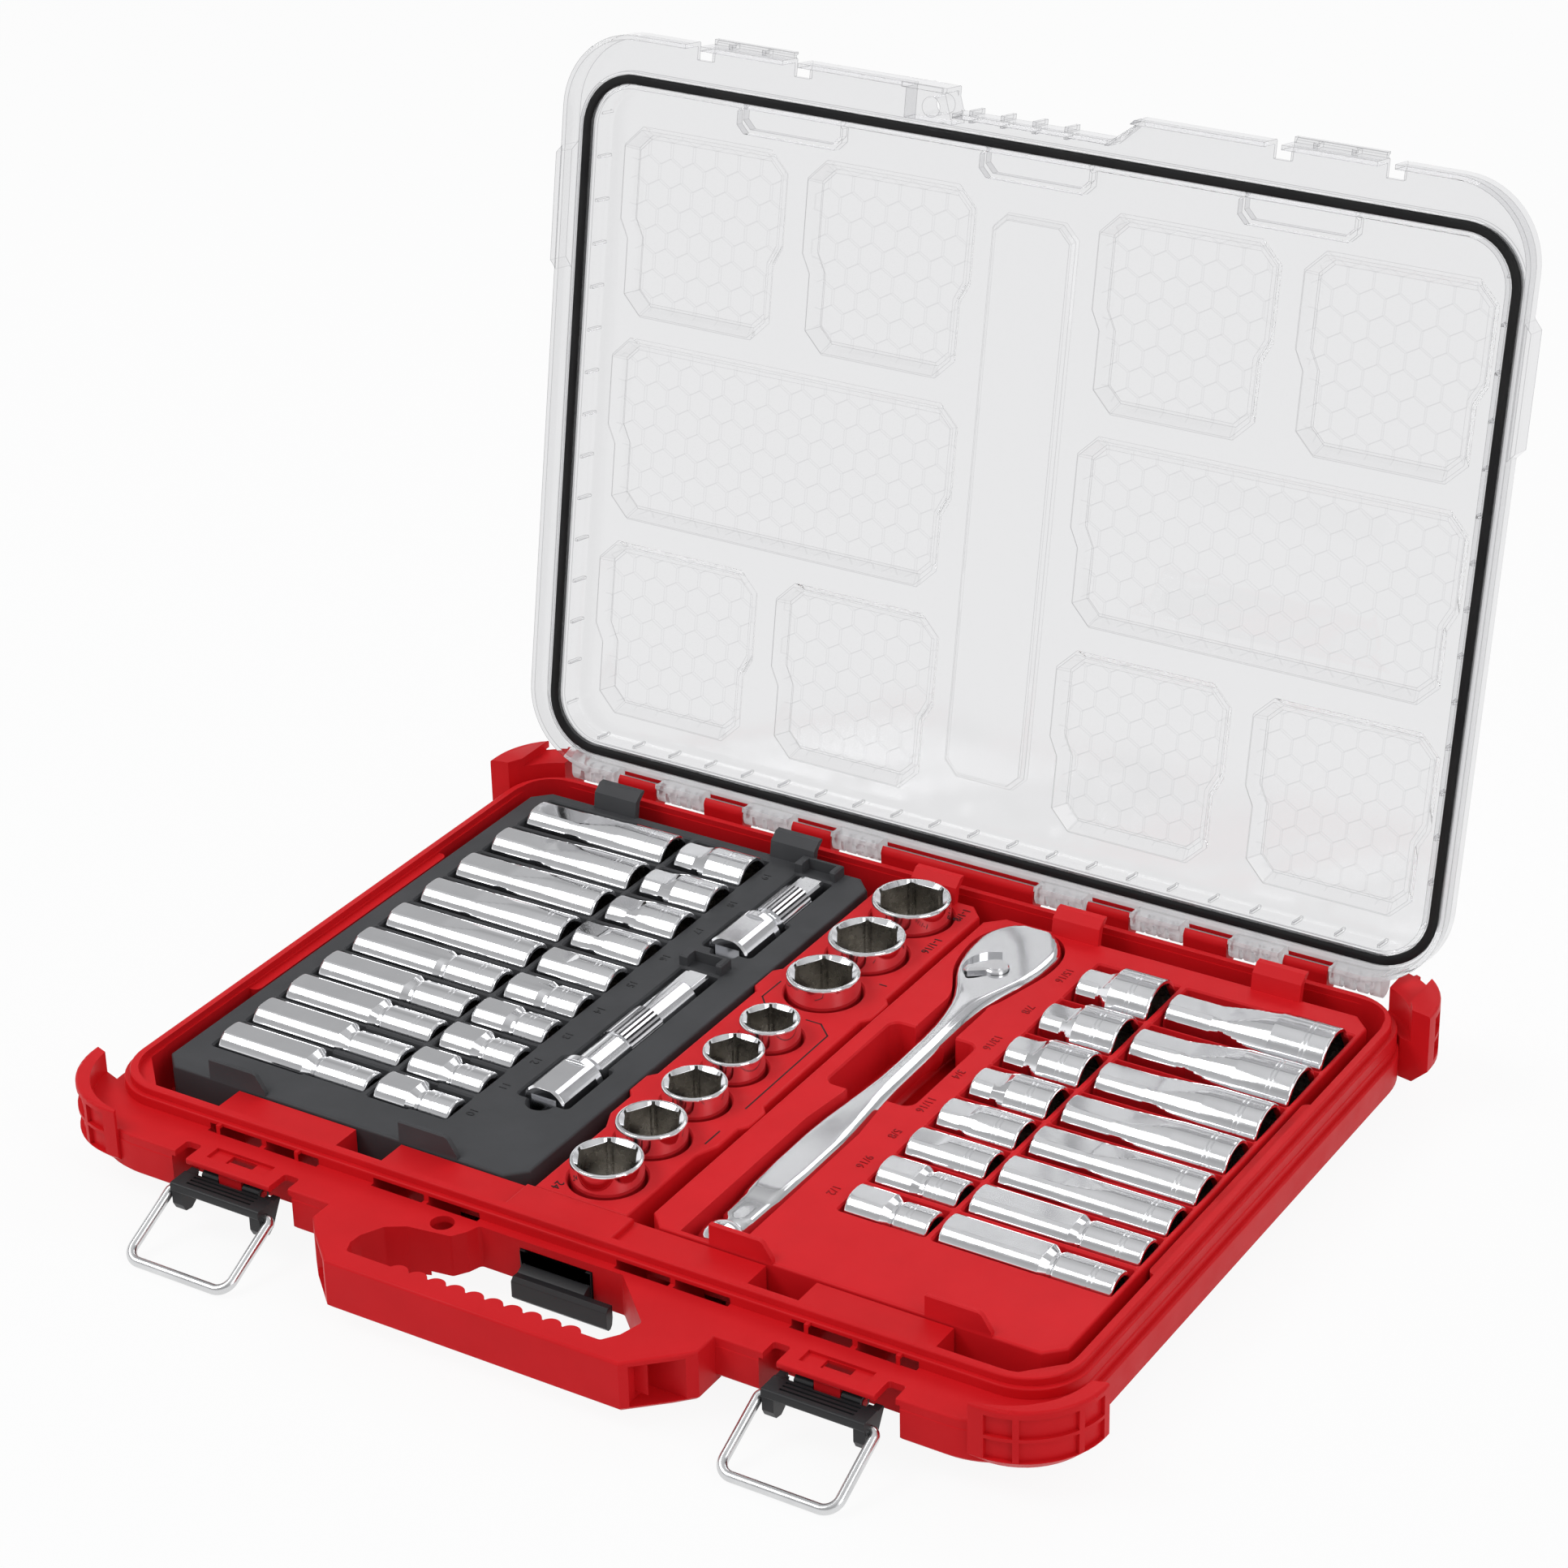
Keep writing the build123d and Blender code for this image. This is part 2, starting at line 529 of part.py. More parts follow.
    # front skirt: low middle part, padlock ear, slanted steps to the fences
    top = LID_FLANGE_Z + LID_SKIN
    lid -= slab([(-39, -200), (-39, -179.5), (-34, -175), (42, -175), (56, -189.5), (56, -200)],
                -20, 20)
    lid += slab([(-60, LID_FRONT + 1), (-53, LID_FRONT), (-40, LID_FRONT + 2),
                 (-37.5, -179), (-35, -172), (-60, -172)], LID_SKIRT_Z, top)
    lid += block(-36, 42, -177.2, -175, LID_SKIRT_Z + 1, top)
    lid += slab([(41, -174.8), (43.2, -174.8), (57, -187.6), (57, -185.8), (55, -185.8)],
                LID_SKIRT_Z, top)
    lid += [block(x - 0.9, x + 0.9, -179.6, -174, LID_SKIRT_Z + 2, top)
            for x in (-27, -11, 5, 21)]
    lid -= rod_z(EAR_R - 0.7, EAR_X - 0.7, EAR_Y - 0.9, -20, 20)
    lid += block(-62, 62, LID_FRONT + 0.2, LID_FRONT + 0.2 + LID_SKIN, LID_FRONT_SKIRT_Z,
                 LID_SKIRT_Z + 0.4) & block(-62, -41, -200, -180, -20, 0)

    # latch catches with notches for the wire loops
    for side in SIDES:
        middle = side * LATCH_X
        for dx in (-26.4, 26.4):
            lid -= block(middle + dx - 4, middle + dx + 4, -200, -179.6, -20, 20)
        catch = along_x([(-176, LID_FLANGE_Z), (-190.5, LID_FLANGE_Z), (-190.5, top + 1.2),
                         (-189.6, top + 1.4), (-188.9, top), (-176, top)],
                        middle - 21.6, middle + 21.6)
        lid += catch
        lid += [block(middle + dx - 1, middle + dx + 1, -190.2, -186, -2, top)
                for dx in (-9, 9)]

    # hinge: knuckles on a through pin, skirt relieved over the clips
    reach = FIRST_KNUCKLE_X + 3 * HINGE_PITCH + KNUCKLE_HALF
    spans = [(-FIRST_KNUCKLE_X + KNUCKLE_HALF, FIRST_KNUCKLE_X - KNUCKLE_HALF)]
    for side in SIDES:
        for n in range(3):
            x = side * (FIRST_KNUCKLE_X + HINGE_PITCH * (n + 0.5))
            spans.append((x - HINGE_PITCH / 2 + KNUCKLE_HALF, x + HINGE_PITCH / 2 - KNUCKLE_HALF))
    lid -= [block(x0, x1, LID_BACK - LID_SKIN - 1.5, LID_BACK + 1, -20, LID_FLANGE_Z)
            for x0, x1 in spans]
    for side in SIDES:
        for n in range(4):
            x = side * (FIRST_KNUCKLE_X + n * HINGE_PITCH)
            arm = along_x([(LID_BACK - LID_SKIN + 0.1, top - 0.8), (HINGE_Y, KNUCKLE_R - 0.3),
                           (HINGE_Y, -KNUCKLE_R), (LID_BACK - LID_SKIN + 0.1, LID_SKIRT_Z + 1)],
                          x - KNUCKLE_HALF, x + KNUCKLE_HALF)
            lid += arm + rod_x(KNUCKLE_R, x - KNUCKLE_HALF, x + KNUCKLE_HALF, HINGE_Y, HINGE_Z)
            lid -= [block(x + dx - 1.1, x + dx + 1.1, HINGE_Y - 1, HINGE_Y + 8, -8, 8)
                    for dx in (-6.2, 0, 6.2)]
    lid += rod_x(HINGE_PIN_R, -reach, reach, HINGE_Y, HINGE_Z)
    return lid


def make_seal():
    """Black seal in the lid's groove, described closed."""
    half = SEAL_WIDTH / 2
    seal = tablet(-SEAL_X - half, SEAL_X + half, -SEAL_Y - half, SEAL_Y + half,
                  RIM_RADIUS + half, SEAL_FOOT, LID_FLANGE_Z)
    seal -= tablet(-SEAL_X + half - 0.7, SEAL_X - half + 0.7, -SEAL_Y + half - 0.7,
                   SEAL_Y - half + 0.7, RIM_RADIUS - half + 0.7, -1, LID_FLANGE_Z + 1)
    return fillet(level_edges(seal, SEAL_FOOT), 1.6)


lid = make_lid()
save("lid", opened(lid))
seal = make_seal()
save("lid_gasket", opened(seal))


# ---------------------------------------------------------------- sizes in the set
METRIC_OD = {10: 17.8, 11: 18.5, 12: 19.3, 13: 20.5, 14: 21.5, 15: 22.5, 16: 23.5, 17: 24.5,
             18: 25.3, 19: 26.0}
SAE_OD = {"1_2": 19.5, "9_16": 20.5, "5_8": 22.5, "11_16": 24.0, "3_4": 26.0, "13_16": 28.0,
          "7_8": 30.0, "15_16": 32.0}
UPRIGHTS = [("24mm", 24.0, -122.6, 31.5, SHORT), ("23mm", 23.0, -88.7, 31.0, SHORT),
            ("22mm", 22.0, -54.9, 29.0, SHORT), ("21mm", 21.0, -23.5, 27.5, SHORT),
            ("20mm", 20.0, 6.3, 27.2, SHORT), ("1in", INCH, 51.8, 33.6, SHORT + 1),
            ("1_1_16in", INCH * 17 / 16, 90.2, 35.8, SHORT + 2.5),
            ("1_1_8in", INCH * 9 / 8, 130.7, 37.0, SHORT + 3.5)]


def inches(name):
    """Width across the flats of an inch size such as 9_16, in millimetres."""
    top, bottom = name.split("_")
    return INCH * int(top) / int(bottom)


def row_centres(first, diameters, least, gap):
    """Centre lines of a column of sockets lying side by side."""
    rows = [first]
    for a, b in zip(diameters, diameters[1:]):
        rows.append(rows[-1] + max(least, (a + b) / 2 + gap))
    return rows


METRIC_ROWS = row_centres(METRIC_FIRST_Y, list(METRIC_OD.values()), 24.2, ROW_GAP)
SAE_ROWS = row_centres(SAE_FIRST_Y, list(SAE_OD.values()), 25.0, SAE_ROW_GAP)


# ---------------------------------------------------------------- trays
def pocket(sketch, floor, foot, soft=True):
    """A cup that hangs from a tray's skin, and the hollow in it, with a soft lip if asked."""
    grown = offset(sketch, CUP_WALL)
    cup = Pos(0, 0, foot) * extrude(grown, TRAY_TOP - 1 - foot, dir=(0, 0, 1))
    hollow = Pos(0, 0, floor) * extrude(sketch, TRAY_TOP + 1 - floor, dir=(0, 0, 1))
    if soft:
        hollow += Pos(0, 0, TRAY_TOP - 0.9) * extrude(sketch, 1.5, dir=(0, 0, 1), taper=-38)
    return cup, hollow


def lying_pocket(x, y, length, diameter):
    """Pocket for a socket lying along x with its drive end to the left."""
    wide = DRIVE_FLATS / 2 + 1.5
    round_half = diameter / 2 + 1.4
    reach = DRIVE_REACH[length]
    whole = Pos(x + length / 2 - 0.4, y) * RectangleRounded(length + 2.6, 2 * round_half, 1.2)
    drive = Pos(x - 1.6 + (reach + 2) / 2, y) * RectangleRounded(reach + 2, 2 * wide, 1.2)
    floor = LYING_Z - max(DRIVE_FLATS, diameter) / 2 - REST_GAP
    shape = whole + drive if round_half < wide else whole
    return pocket(shape, floor, max(floor - CUP_WALL, TRAY_FOOT))


def tray_shell(outline):
    """Skin and skirt of a tray on its outline."""
    solid = slab(outline, TRAY_FOOT, TRAY_TOP)
    solid = fillet(level_edges(solid, TRAY_TOP), 1.3)
    face = make_face(Polyline(*outline, close=True))
    inner = offset(face, -TRAY_WALL)
    under = Pos(0, 0, TRAY_FOOT - 1) * extrude(inner, TRAY_TOP - TRAY_SKIN - TRAY_FOOT + 1,
                                               dir=(0, 0, 1))
    return solid - under


def front_tab(x):
    """Upright pull tab on a tray's front edge, straight on the left, sloped on the right."""
    tab = along_y([(x, TRAY_TOP - 9), (x, 7.5), (x + 23, 7.5), (x + 25.5, 6.2), (x + 30, -0.5),
                   (x + 31.5, TRAY_TOP - 9)], TRAY_FRONT + 0.1, TRAY_FRONT + 2.5)
    return chamfer(level_edges(tab, 7.5), 0.6)


def rear_tab(x, back):
    """Pull tab that leans back over a tray's rear edge."""
    tab = along_x([(back - 3.6, TRAY_TOP - 8), (back - 0.1, TRAY_TOP - 8), (back + 0.9, -1),
                   (back + 2.2, 5), (back + 6.5, 8.6), (back + 6.2, 9.6), (back + 3.2, 9.4),
                   (back - 1.2, 6), (back - 2.4, -1)], x - 12, x + 12)
    return tab


def fit_out(tray, pockets, extras, cuts):
    """Join cups and tabs to a tray's shell, then hollow them."""
    tray = tray + [cup for cup, _ in pockets] + extras
    return tray - [hollow for _, hollow in pockets] - cuts


def extension_pocket(y0, y1, socket_length):
    """Pocket for an extension bar, with a round finger dip at its socket end."""
    socket = Pos(EXT_X, (y0 - 1.3 + y0 + socket_length + 1.5) / 2) * RectangleRounded(
        EXT_OD + 2.8, socket_length + 2.8, 2)
    shaft = Pos(EXT_X, (y0 + 4 + y1 + 1.6) / 2) * RectangleRounded(
        EXT_SHAFT + 2.8, y1 + 1.6 - y0 - 4, 1.5)
    dip = Pos(EXT_X, y0 - 1.6) * Circle(6.5)
    floor = EXT_Z - EXT_OD / 2 - REST_GAP
    return pocket(socket + shaft + dip, floor, floor - CUP_WALL)


def end_clip(y):
    """U-shaped clip behind an extension's square end."""
    clip = block(EXT_X - 12, EXT_X + 10.5, y, y + 8.5, TRAY_TOP - 2, 3.4)
    clip = chamfer(level_edges(clip, 3.4), 0.8)
    return clip - block(EXT_X - 7.6, EXT_X + 7.6, y - 1, y + 6.2, TRAY_TOP - 14, 9)


def make_metric_tray():
    """Grey tray: ten deep and ten short metric sockets and two extension bars."""
    tray = tray_shell(cut_corner(METRIC_LEFT, METRIC_RIGHT, TRAY_FRONT, TRAY_BACK,
                                 TRAY_CORNER))
    pockets = []
    for y, diameter in zip(METRIC_ROWS, METRIC_OD.values()):
        pockets.append(lying_pocket(METRIC_DEEP_X, y, DEEP, diameter))
        pockets.append(lying_pocket(METRIC_SHORT_X, y, SHORT, diameter))
    pockets.append(extension_pocket(LONG_Y0, LONG_Y1, LONG_SOCKET))
    pockets.append(extension_pocket(SHORT_Y0, SHORT_Y1, SHORT_SOCKET))
    extras = [front_tab(-195), front_tab(-93), rear_tab(-177, TRAY_BACK),
              rear_tab(-76, TRAY_BACK), end_clip(LONG_Y1 + 2.4), end_clip(SHORT_Y1 + 2.4)]
    return fit_out(tray, pockets, extras, [])


def make_middle_tray():
    """Narrow red tray with round pockets for the upright sockets."""
    side = [(MIDDLE_NOSE, TRAY_FRONT), (MIDDLE_NOSE, -90), (MIDDLE_X, -80), (MIDDLE_X, -64),
            (MIDDLE_BULGE, -60), (MIDDLE_BULGE, -47), (MIDDLE_X, -43), (MIDDLE_X, 38),
            (MIDDLE_BULGE, 42), (MIDDLE_BULGE, 57), (MIDDLE_X, 61), (MIDDLE_X, 146),
            (MIDDLE_X - 7, 153.5)]
    outline = side + [(-x, y) for x, y in reversed(side)]
    tray = tray_shell(outline)
    pockets = []
    for _, _, y, diameter, length in UPRIGHTS:
        floor = UPRIGHT_TOP - length - REST_GAP
        pockets.append(pocket(Pos(0, y) * Circle(diameter / 2 + 1.3), floor, floor - CUP_WALL))
    return fit_out(tray, pockets, [rear_tab(0, 152.2)], [])


def ratchet_head_plan(grow=0.0):
    """Pear-shaped plan of the ratchet's head, grown by a margin."""
    g, d = grow, grow * 0.7
    pear = Spline((RATCHET_X - 7.4 - g, 64), (RATCHET_X - 9.8 - g, 80),
                  (HEAD_X - 15.8 - g, 98), (HEAD_X - 19.9 - g, 114),
                  (HEAD_X - HEAD_R - g, HEAD_Y), (HEAD_X - 14.6 - d, HEAD_Y + 14.6 + d),
                  (HEAD_X, HEAD_Y + HEAD_R + g), (HEAD_X + 14.6 + d, HEAD_Y + 14.6 + d),
                  (HEAD_X + HEAD_R + g, HEAD_Y), (HEAD_X + 20.2 + g, 112),
                  (HEAD_X + 17.0 + g, 97), (RATCHET_X + 9.6 + g, 80),
                  (RATCHET_X + 7.4 + g, 64), tangents=((-0.05, 1), (-0.05, -1)))
    return make_face([pear, Line(pear @ 1, pear @ 0)])


def ratchet_outlines(grow):
    """Plans of the ratchet's neck and grip, grown by a margin."""
    neck = Pos(RATCHET_X, 27) * Rectangle(17 + 2 * grow, 94)
    grip = make_face(Polyline((RATCHET_X - 7.5 - grow, -8), (RATCHET_X - 11.4 - grow, -42),
                              (RATCHET_X - 11.4 - grow, RATCHET_END - grow),
                              (RATCHET_X + 11.4 + grow, RATCHET_END - grow),
                              (RATCHET_X + 11.4 + grow, -42), (RATCHET_X + 7.5 + grow, -8),
                              close=True))
    return [neck, grip]


def make_sae_tray():
    """Red tray: the ratchet, eight short and eight deep inch sockets."""
    tray = tray_shell(cut_corner(SAE_LEFT, SAE_RIGHT, TRAY_FRONT, TRAY_BACK, TRAY_CORNER))
    pockets = []
    for y, diameter in zip(SAE_ROWS, SAE_OD.values()):
        pockets.append(lying_pocket(SAE_SHORT_X, y, SHORT, diameter))
        pockets.append(lying_pocket(SAE_DEEP_X, y, DEEP, diameter))
    floor = RATCHET_TOP - HEAD_THICK - REST_GAP
    head_cup = Pos(0, 0, TRAY_FOOT) * extrude(ratchet_head_plan(1.6 + CUP_WALL),
                                              TRAY_TOP - 1 - TRAY_FOOT, dir=(0, 0, 1))
    head_room = Pos(0, 0, floor) * extrude(ratchet_head_plan(1.6), 30, dir=(0, 0, 1))
    pockets.append((head_cup, head_room))
    for plan in ratchet_outlines(1.6):
        pockets.append(pocket(plan, floor, TRAY_FOOT, soft=False))
    pockets.append(pocket(Pos(61, 16.5) * RectangleRounded(43, 59, 5), floor, TRAY_FOOT))
    anvil = Pos(HEAD_X, HEAD_Y) * Circle(SQUARE * 0.72 + 1.4)
    cup = Pos(0, 0, ANVIL_FOOT - REST_GAP - CUP_WALL) * extrude(offset(anvil, CUP_WALL), 14,
                                                                dir=(0, 0, 1))
    well = Pos(0, 0, ANVIL_FOOT - REST_GAP) * extrude(anvil, 16, dir=(0, 0, 1))
    pockets.append((cup, well))
    extras = [front_tab(63), front_tab(164), rear_tab(76, TRAY_BACK),
              rear_tab(177, TRAY_BACK)]
    return fit_out(tray, pockets, extras, [])


save("metric_tray", make_metric_tray())
save("middle_tray", make_middle_tray())
save("sae_tray", make_sae_tray())


# ---------------------------------------------------------------- sockets
def socket(length, diameter, across_flats):
    """Six-point socket along +z, drive end at z = 0, opening at the far end."""
    drive_r, round_r = DRIVE_OD / 2, diameter / 2
    deep = length > 60
    reach = DRIVE_REACH[DEEP] - 1 if deep else DRIVE_REACH[SHORT] - 2
    flare = (28.0, 52.0) if deep else (13.0, 18.0)
    if diameter <= DRIVE_OD:
        profile = [(0, 0), (drive_r - 1.0, 0), (drive_r, 1.2), (drive_r, reach - 1),
                   (round_r - 0.9, reach + 2.2), (round_r - 0.9, reach + 3.6),
                   (round_r, reach + 5.0), (round_r, length - 1.2), (round_r - 1.0, length),
                   (0, length)]
    else:
        profile = [(0, 0), (drive_r - 1.0, 0), (drive_r, 1.2), (drive_r, flare[0] * 0.8),
                   (round_r, flare[1]), (round_r, length - 1.3), (round_r - 1.0, length),
                   (0, length)]
    face = make_face(Polyline(*[(r, 0, z) for r, z in profile], close=True))
    body = revolve(face, Axis.Z)
    flat = DRIVE_FLATS / 2
    high = max(round_r, drive_r) + 2
    run = flare[1] if diameter > DRIVE_OD else reach + 3
    lift = max(round_r, drive_r) + 0.3
    cutter = along_y([(flat, -1), (high, -1), (high, run + 1), (lift, run), (flat, flare[0])],
                     -20, 20)
    if diameter <= DRIVE_OD:
        cutter = block(flat, high, -20, 20, -1, reach + 3.4)
    body -= [Rot(0, 0, 90 * n) * cutter for n in range(4)]
    drive_depth = min(15.0, length * 0.4)
    hex_depth = min(24.0, length - drive_depth - 4)
    body -= Pos(0, 0, drive_depth / 2 - 0.5) * Box(SQUARE + SQUARE_FIT, SQUARE + SQUARE_FIT,
                                                   drive_depth + 1)
    hexagon = RegularPolygon((across_flats + 0.2) / 2, 6, major_radius=False, rotation=30)
    body -= Pos(0, 0, length - hex_depth) * extrude(hexagon, hex_depth + 1, dir=(0, 0, 1))
    body -= rod_z(min(SQUARE, across_flats) / 2 - 0.4, 0, 0, 1, length - 1)
    lead_r = (across_flats + 0.2) / math.sqrt(3)
    mouth = min(lead_r + 0.25, round_r - 0.7)
    body -= Pos(0, 0, length - 0.6) * Cone(mouth - 1.6, mouth + 0.25, 2.0)
    return body


def lying(part, x, y):
    """Lay a socket along x in its pocket."""
    return Pos(x, y, LYING_Z) * Rot(0, 90, 0) * part


for (size, diameter), y in zip(METRIC_OD.items(), METRIC_ROWS):
    save(f"socket_deep_{size}mm", lying(socket(DEEP, diameter, size), METRIC_DEEP_X, y))
    save(f"socket_short_{size}mm", lying(socket(SHORT, diameter, size), METRIC_SHORT_X, y))
for (size, diameter), y in zip(SAE_OD.items(), SAE_ROWS):
    flats = inches(size)
    save(f"socket_deep_{size}in", lying(socket(DEEP, diameter, flats), SAE_DEEP_X, y))
    save(f"socket_short_{size}in", lying(socket(SHORT, diameter, flats), SAE_SHORT_X, y))
for size, flats, y, diameter, length in UPRIGHTS:
    standing = Pos(0, y, UPRIGHT_TOP - length) * socket(length, diameter, flats)
    save(f"socket_short_{size}", standing)


# ---------------------------------------------------------------- extension bars
def extension(y0, y1, socket_length, knurl0, knurl1):
    """Extension bar along y: socket end in front, grooved grip, square drive behind."""
    shaft_r, end_r = EXT_SHAFT / 2, EXT_OD / 2
    profile = [(0, y0), (end_r - 1, y0), (end_r, y0 + 1), (end_r, y0 + socket_length - 5),
               (shaft_r, y0 + socket_length), (shaft_r, knurl0), (shaft_r + 0.6, knurl0 + 0.8),
               (shaft_r + 0.6, knurl1 - 0.8), (shaft_r, knurl1), (shaft_r, y1 - 15),
               (shaft_r - 1.4, y1 - 13), (0, y1 - 13)]
    face = make_face(Polyline(*[(r, 0, y) for r, y in profile], close=True))
    bar = revolve(face, Axis.Z)
    flats = [block(end_r - 1.4, end_r + 2, -20, 20, y0 - 1, y0 + socket_length - 9)]
    bar -= [Rot(0, 0, 90 * n) * flat for n in range(4) for flat in flats]
    tang = Pos(0, 0, y1 - 7.5) * Box(SQUARE - 0.1, SQUARE - 0.1, 15)
    tang = chamfer(tang.edges().group_by(Axis.Z)[-1], 1.2)
    tang = chamfer(tang.edges().filter_by(Axis.Z), 1.1)
    bar += tang
    bar += Pos(SQUARE / 2 - 0.9, 0, y1 - 6.5) * Rot(0, 90, 0) * Cylinder(1.7, 2.6)
    bar -= Pos(0, 0, y0 + 7) * Box(SQUARE + SQUARE_FIT, SQUARE + SQUARE_FIT, 16)
    return Pos(EXT_X, 0, EXT_Z) * Rot(-90, 0, 0) * Rot(0, 0, 90) * bar


save("extension_long", extension(LONG_Y0, LONG_Y1, LONG_SOCKET, -30.0, -5.0))
save("extension_short", extension(SHORT_Y0, SHORT_Y1, SHORT_SOCKET, 97.0, 122.0))


# ---------------------------------------------------------------- ratchet
def oval_section(x, y, z, half_width, half_height):
    """Oval across the handle at one station along y."""
    return Plane(origin=(x, y, z), z_dir=(0, -1, 0)) * Ellipse(half_width, half_height)


def make_ratchet():
    """Ratchet without its selector and square drive."""
    axis_z = RATCHET_TOP - HEAD_THICK / 2
    head = Pos(0, 0, RATCHET_TOP - HEAD_THICK) * extrude(ratchet_head_plan(), HEAD_THICK, dir=(0, 0, 1))
    head = chamfer(level_edges(head, RATCHET_TOP), 2.0)
    head = chamfer(level_edges(head, RATCHET_TOP - HEAD_THICK), 1.5)
    stations = [(88, 11.5, 10.0), (66, 7.8, 9.2), (40, 7.0, 8.4), (0, 7.3, 8.2),
                (-22, 9.4, 8.8), (-50, 11.2, 9.6), (-85, 11.2, 9.4), (-119, 10.2, 8.8)]
    shaft = loft([oval_section(RATCHET_X, y, axis_z, a, b) for y, a, b in stations])
    collar = Pos(RATCHET_X, -120.2, axis_z) * Rot(90, 0, 0) * Cylinder(8.6, 5)
    cap = Pos(RATCHET_X, (-122 + RATCHET_END) / 2, axis_z) * Rot(90, 0, 0) * Cylinder(
        10.6, -122 - RATCHET_END)
    cap = chamfer(cap.edges(), 1.6)
    body = head + [shaft, collar, cap]
    body -= rod_z(SELECTOR_R + SPIN_FIT, SELECTOR_X, SELECTOR_Y, RATCHET_TOP - 6, 3)
    sweep = [(SELECTOR_X + 15.5 * math.cos(math.radians(a)),
              SELECTOR_Y + 15.5 * math.sin(math.radians(a))) for a in range(108, 250, 10)]
    recess = slab([(SELECTOR_X, SELECTOR_Y)] + sweep, RATCHET_TOP - 2.0, 3)
    body -= recess + rod_z(6.3, SELECTOR_X, SELECTOR_Y, RATCHET_TOP - 2.0, 3)
    body -= rod_z(ANVIL_R + SPIN_FIT, HEAD_X, HEAD_Y, -40, RATCHET_TOP - HEAD_THICK + 10)
    return body


def make_selector():
    """Direction lever: pivot, hub and a short pointed arm."""
    pivot = rod_z(SELECTOR_R, 0, 0, RATCHET_TOP - 5.7, RATCHET_TOP + 2.2)
    hub = rod_z(5.9, 0, 0, RATCHET_TOP - 1.6, RATCHET_TOP + 1.9)
    hub = chamfer(level_edges(hub, RATCHET_TOP + 1.9), 0.6)
    arm = slab([(0, -2.7), (13.5, -2.5), (14.8, 0), (13.5, 2.5), (0, 2.7)], RATCHET_TOP - 1.6,
               RATCHET_TOP + 2.4)
    arm = chamfer(level_edges(arm, RATCHET_TOP + 2.4), 1.0)
    turn = Pos(SELECTOR_X, SELECTOR_Y, 0) * Rot(0, 0, SELECTOR_ANGLE)
    return turn * (pivot + [hub, arm])


def make_anvil():
    """Square drive under the head, with its ball."""
    foot = RATCHET_TOP - HEAD_THICK
    core = rod_z(ANVIL_R, HEAD_X, HEAD_Y, foot - 1.2, foot + 9.7)
    square = block(HEAD_X - SQUARE / 2 + 0.05, HEAD_X + SQUARE / 2 - 0.05,
                   HEAD_Y - SQUARE / 2 + 0.05, HEAD_Y + SQUARE / 2 - 0.05, ANVIL_FOOT, foot)
    square = chamfer(square.edges().filter_by(Axis.Z), 1.0)
    square = chamfer(square.edges().group_by(Axis.Z)[0], 0.8)
    ball = Pos(HEAD_X, HEAD_Y - SQUARE / 2 + 0.9, (ANVIL_FOOT + foot) / 2) * Sphere(1.7)
    return core + [square, ball]


save("ratchet_body", make_ratchet())
save("ratchet_selector", make_selector())
save("ratchet_anvil", make_anvil())


# ---------------------------------------------------------------- latches
def make_lever(middle):
    """Latch lever lying open, with its two cheeks and pivot knuckles."""
    y1 = LEVER_PIVOT_Y - 0.6
    y0 = LEVER_PIVOT_Y - LEVER_REACH
    top = LEVER_PIVOT_Z + 2.0
    x0, x1 = middle - LEVER_HALF, middle + LEVER_HALF
    plate = block(x0, x1, y0, y1 - 2.6, top - LEVER_THICK, top)
    plate = fillet(plate.edges().filter_by(Axis.X), 1.2)
    cheeks = []
    for a, b in ((x0, x0 + 5.4), (x1 - 5.4, x1)):
        cheek = along_x([(y0 + 0.8, top - 1.2), (y0 + 0.8, -25.5), (y0 + 2.6, -29),
                         (y0 + 6.5, -29.6), (y0 + 9.5, -27.5), (y0 + 13.5, -20),
                         (LEVER_PIVOT_Y + 1.5, -15.4), (LEVER_PIVOT_Y - 2, top - 0.6)], a, b)
        cheeks.append(fillet(cheek.edges().filter_by(Axis.X), 0.8))
    lever = plate + cheeks
    for a, b in ((6.4, 15.2), (-15.2, -6.4)):
        knuckle = rod_x(3.9, middle + a, middle + b, LEVER_PIVOT_Y, LEVER_PIVOT_Z)
        web = block(middle + a, middle + b, y0 + 4, LEVER_PIVOT_Y, top - LEVER_THICK, top - 0.1)
        lever += knuckle + web
    lever -= block(middle - 6.4, middle + 6.4, -192.2, -180, -24, -10)
    lever -= rod_x(LEVER_PIN_R + LEVER_FIT, middle - 20, middle + 20, LEVER_PIVOT_Y,
                   LEVER_PIVOT_Z)
    lever -= [block(middle - 17, middle + 17, y0 + 3 + n * 2.4, y0 + 4.1 + n * 2.4, top - 0.8,
                    top + 1) for n in range(4)]
    for dx in (-LEVER_HALF, LEVER_HALF):
        lever -= rod_x(BAIL_R + BAIL_FIT, middle + dx - 4.6, middle + dx + 4.6, BAIL_PIVOT_Y,
                       BAIL_PIVOT_Z)
    return lever


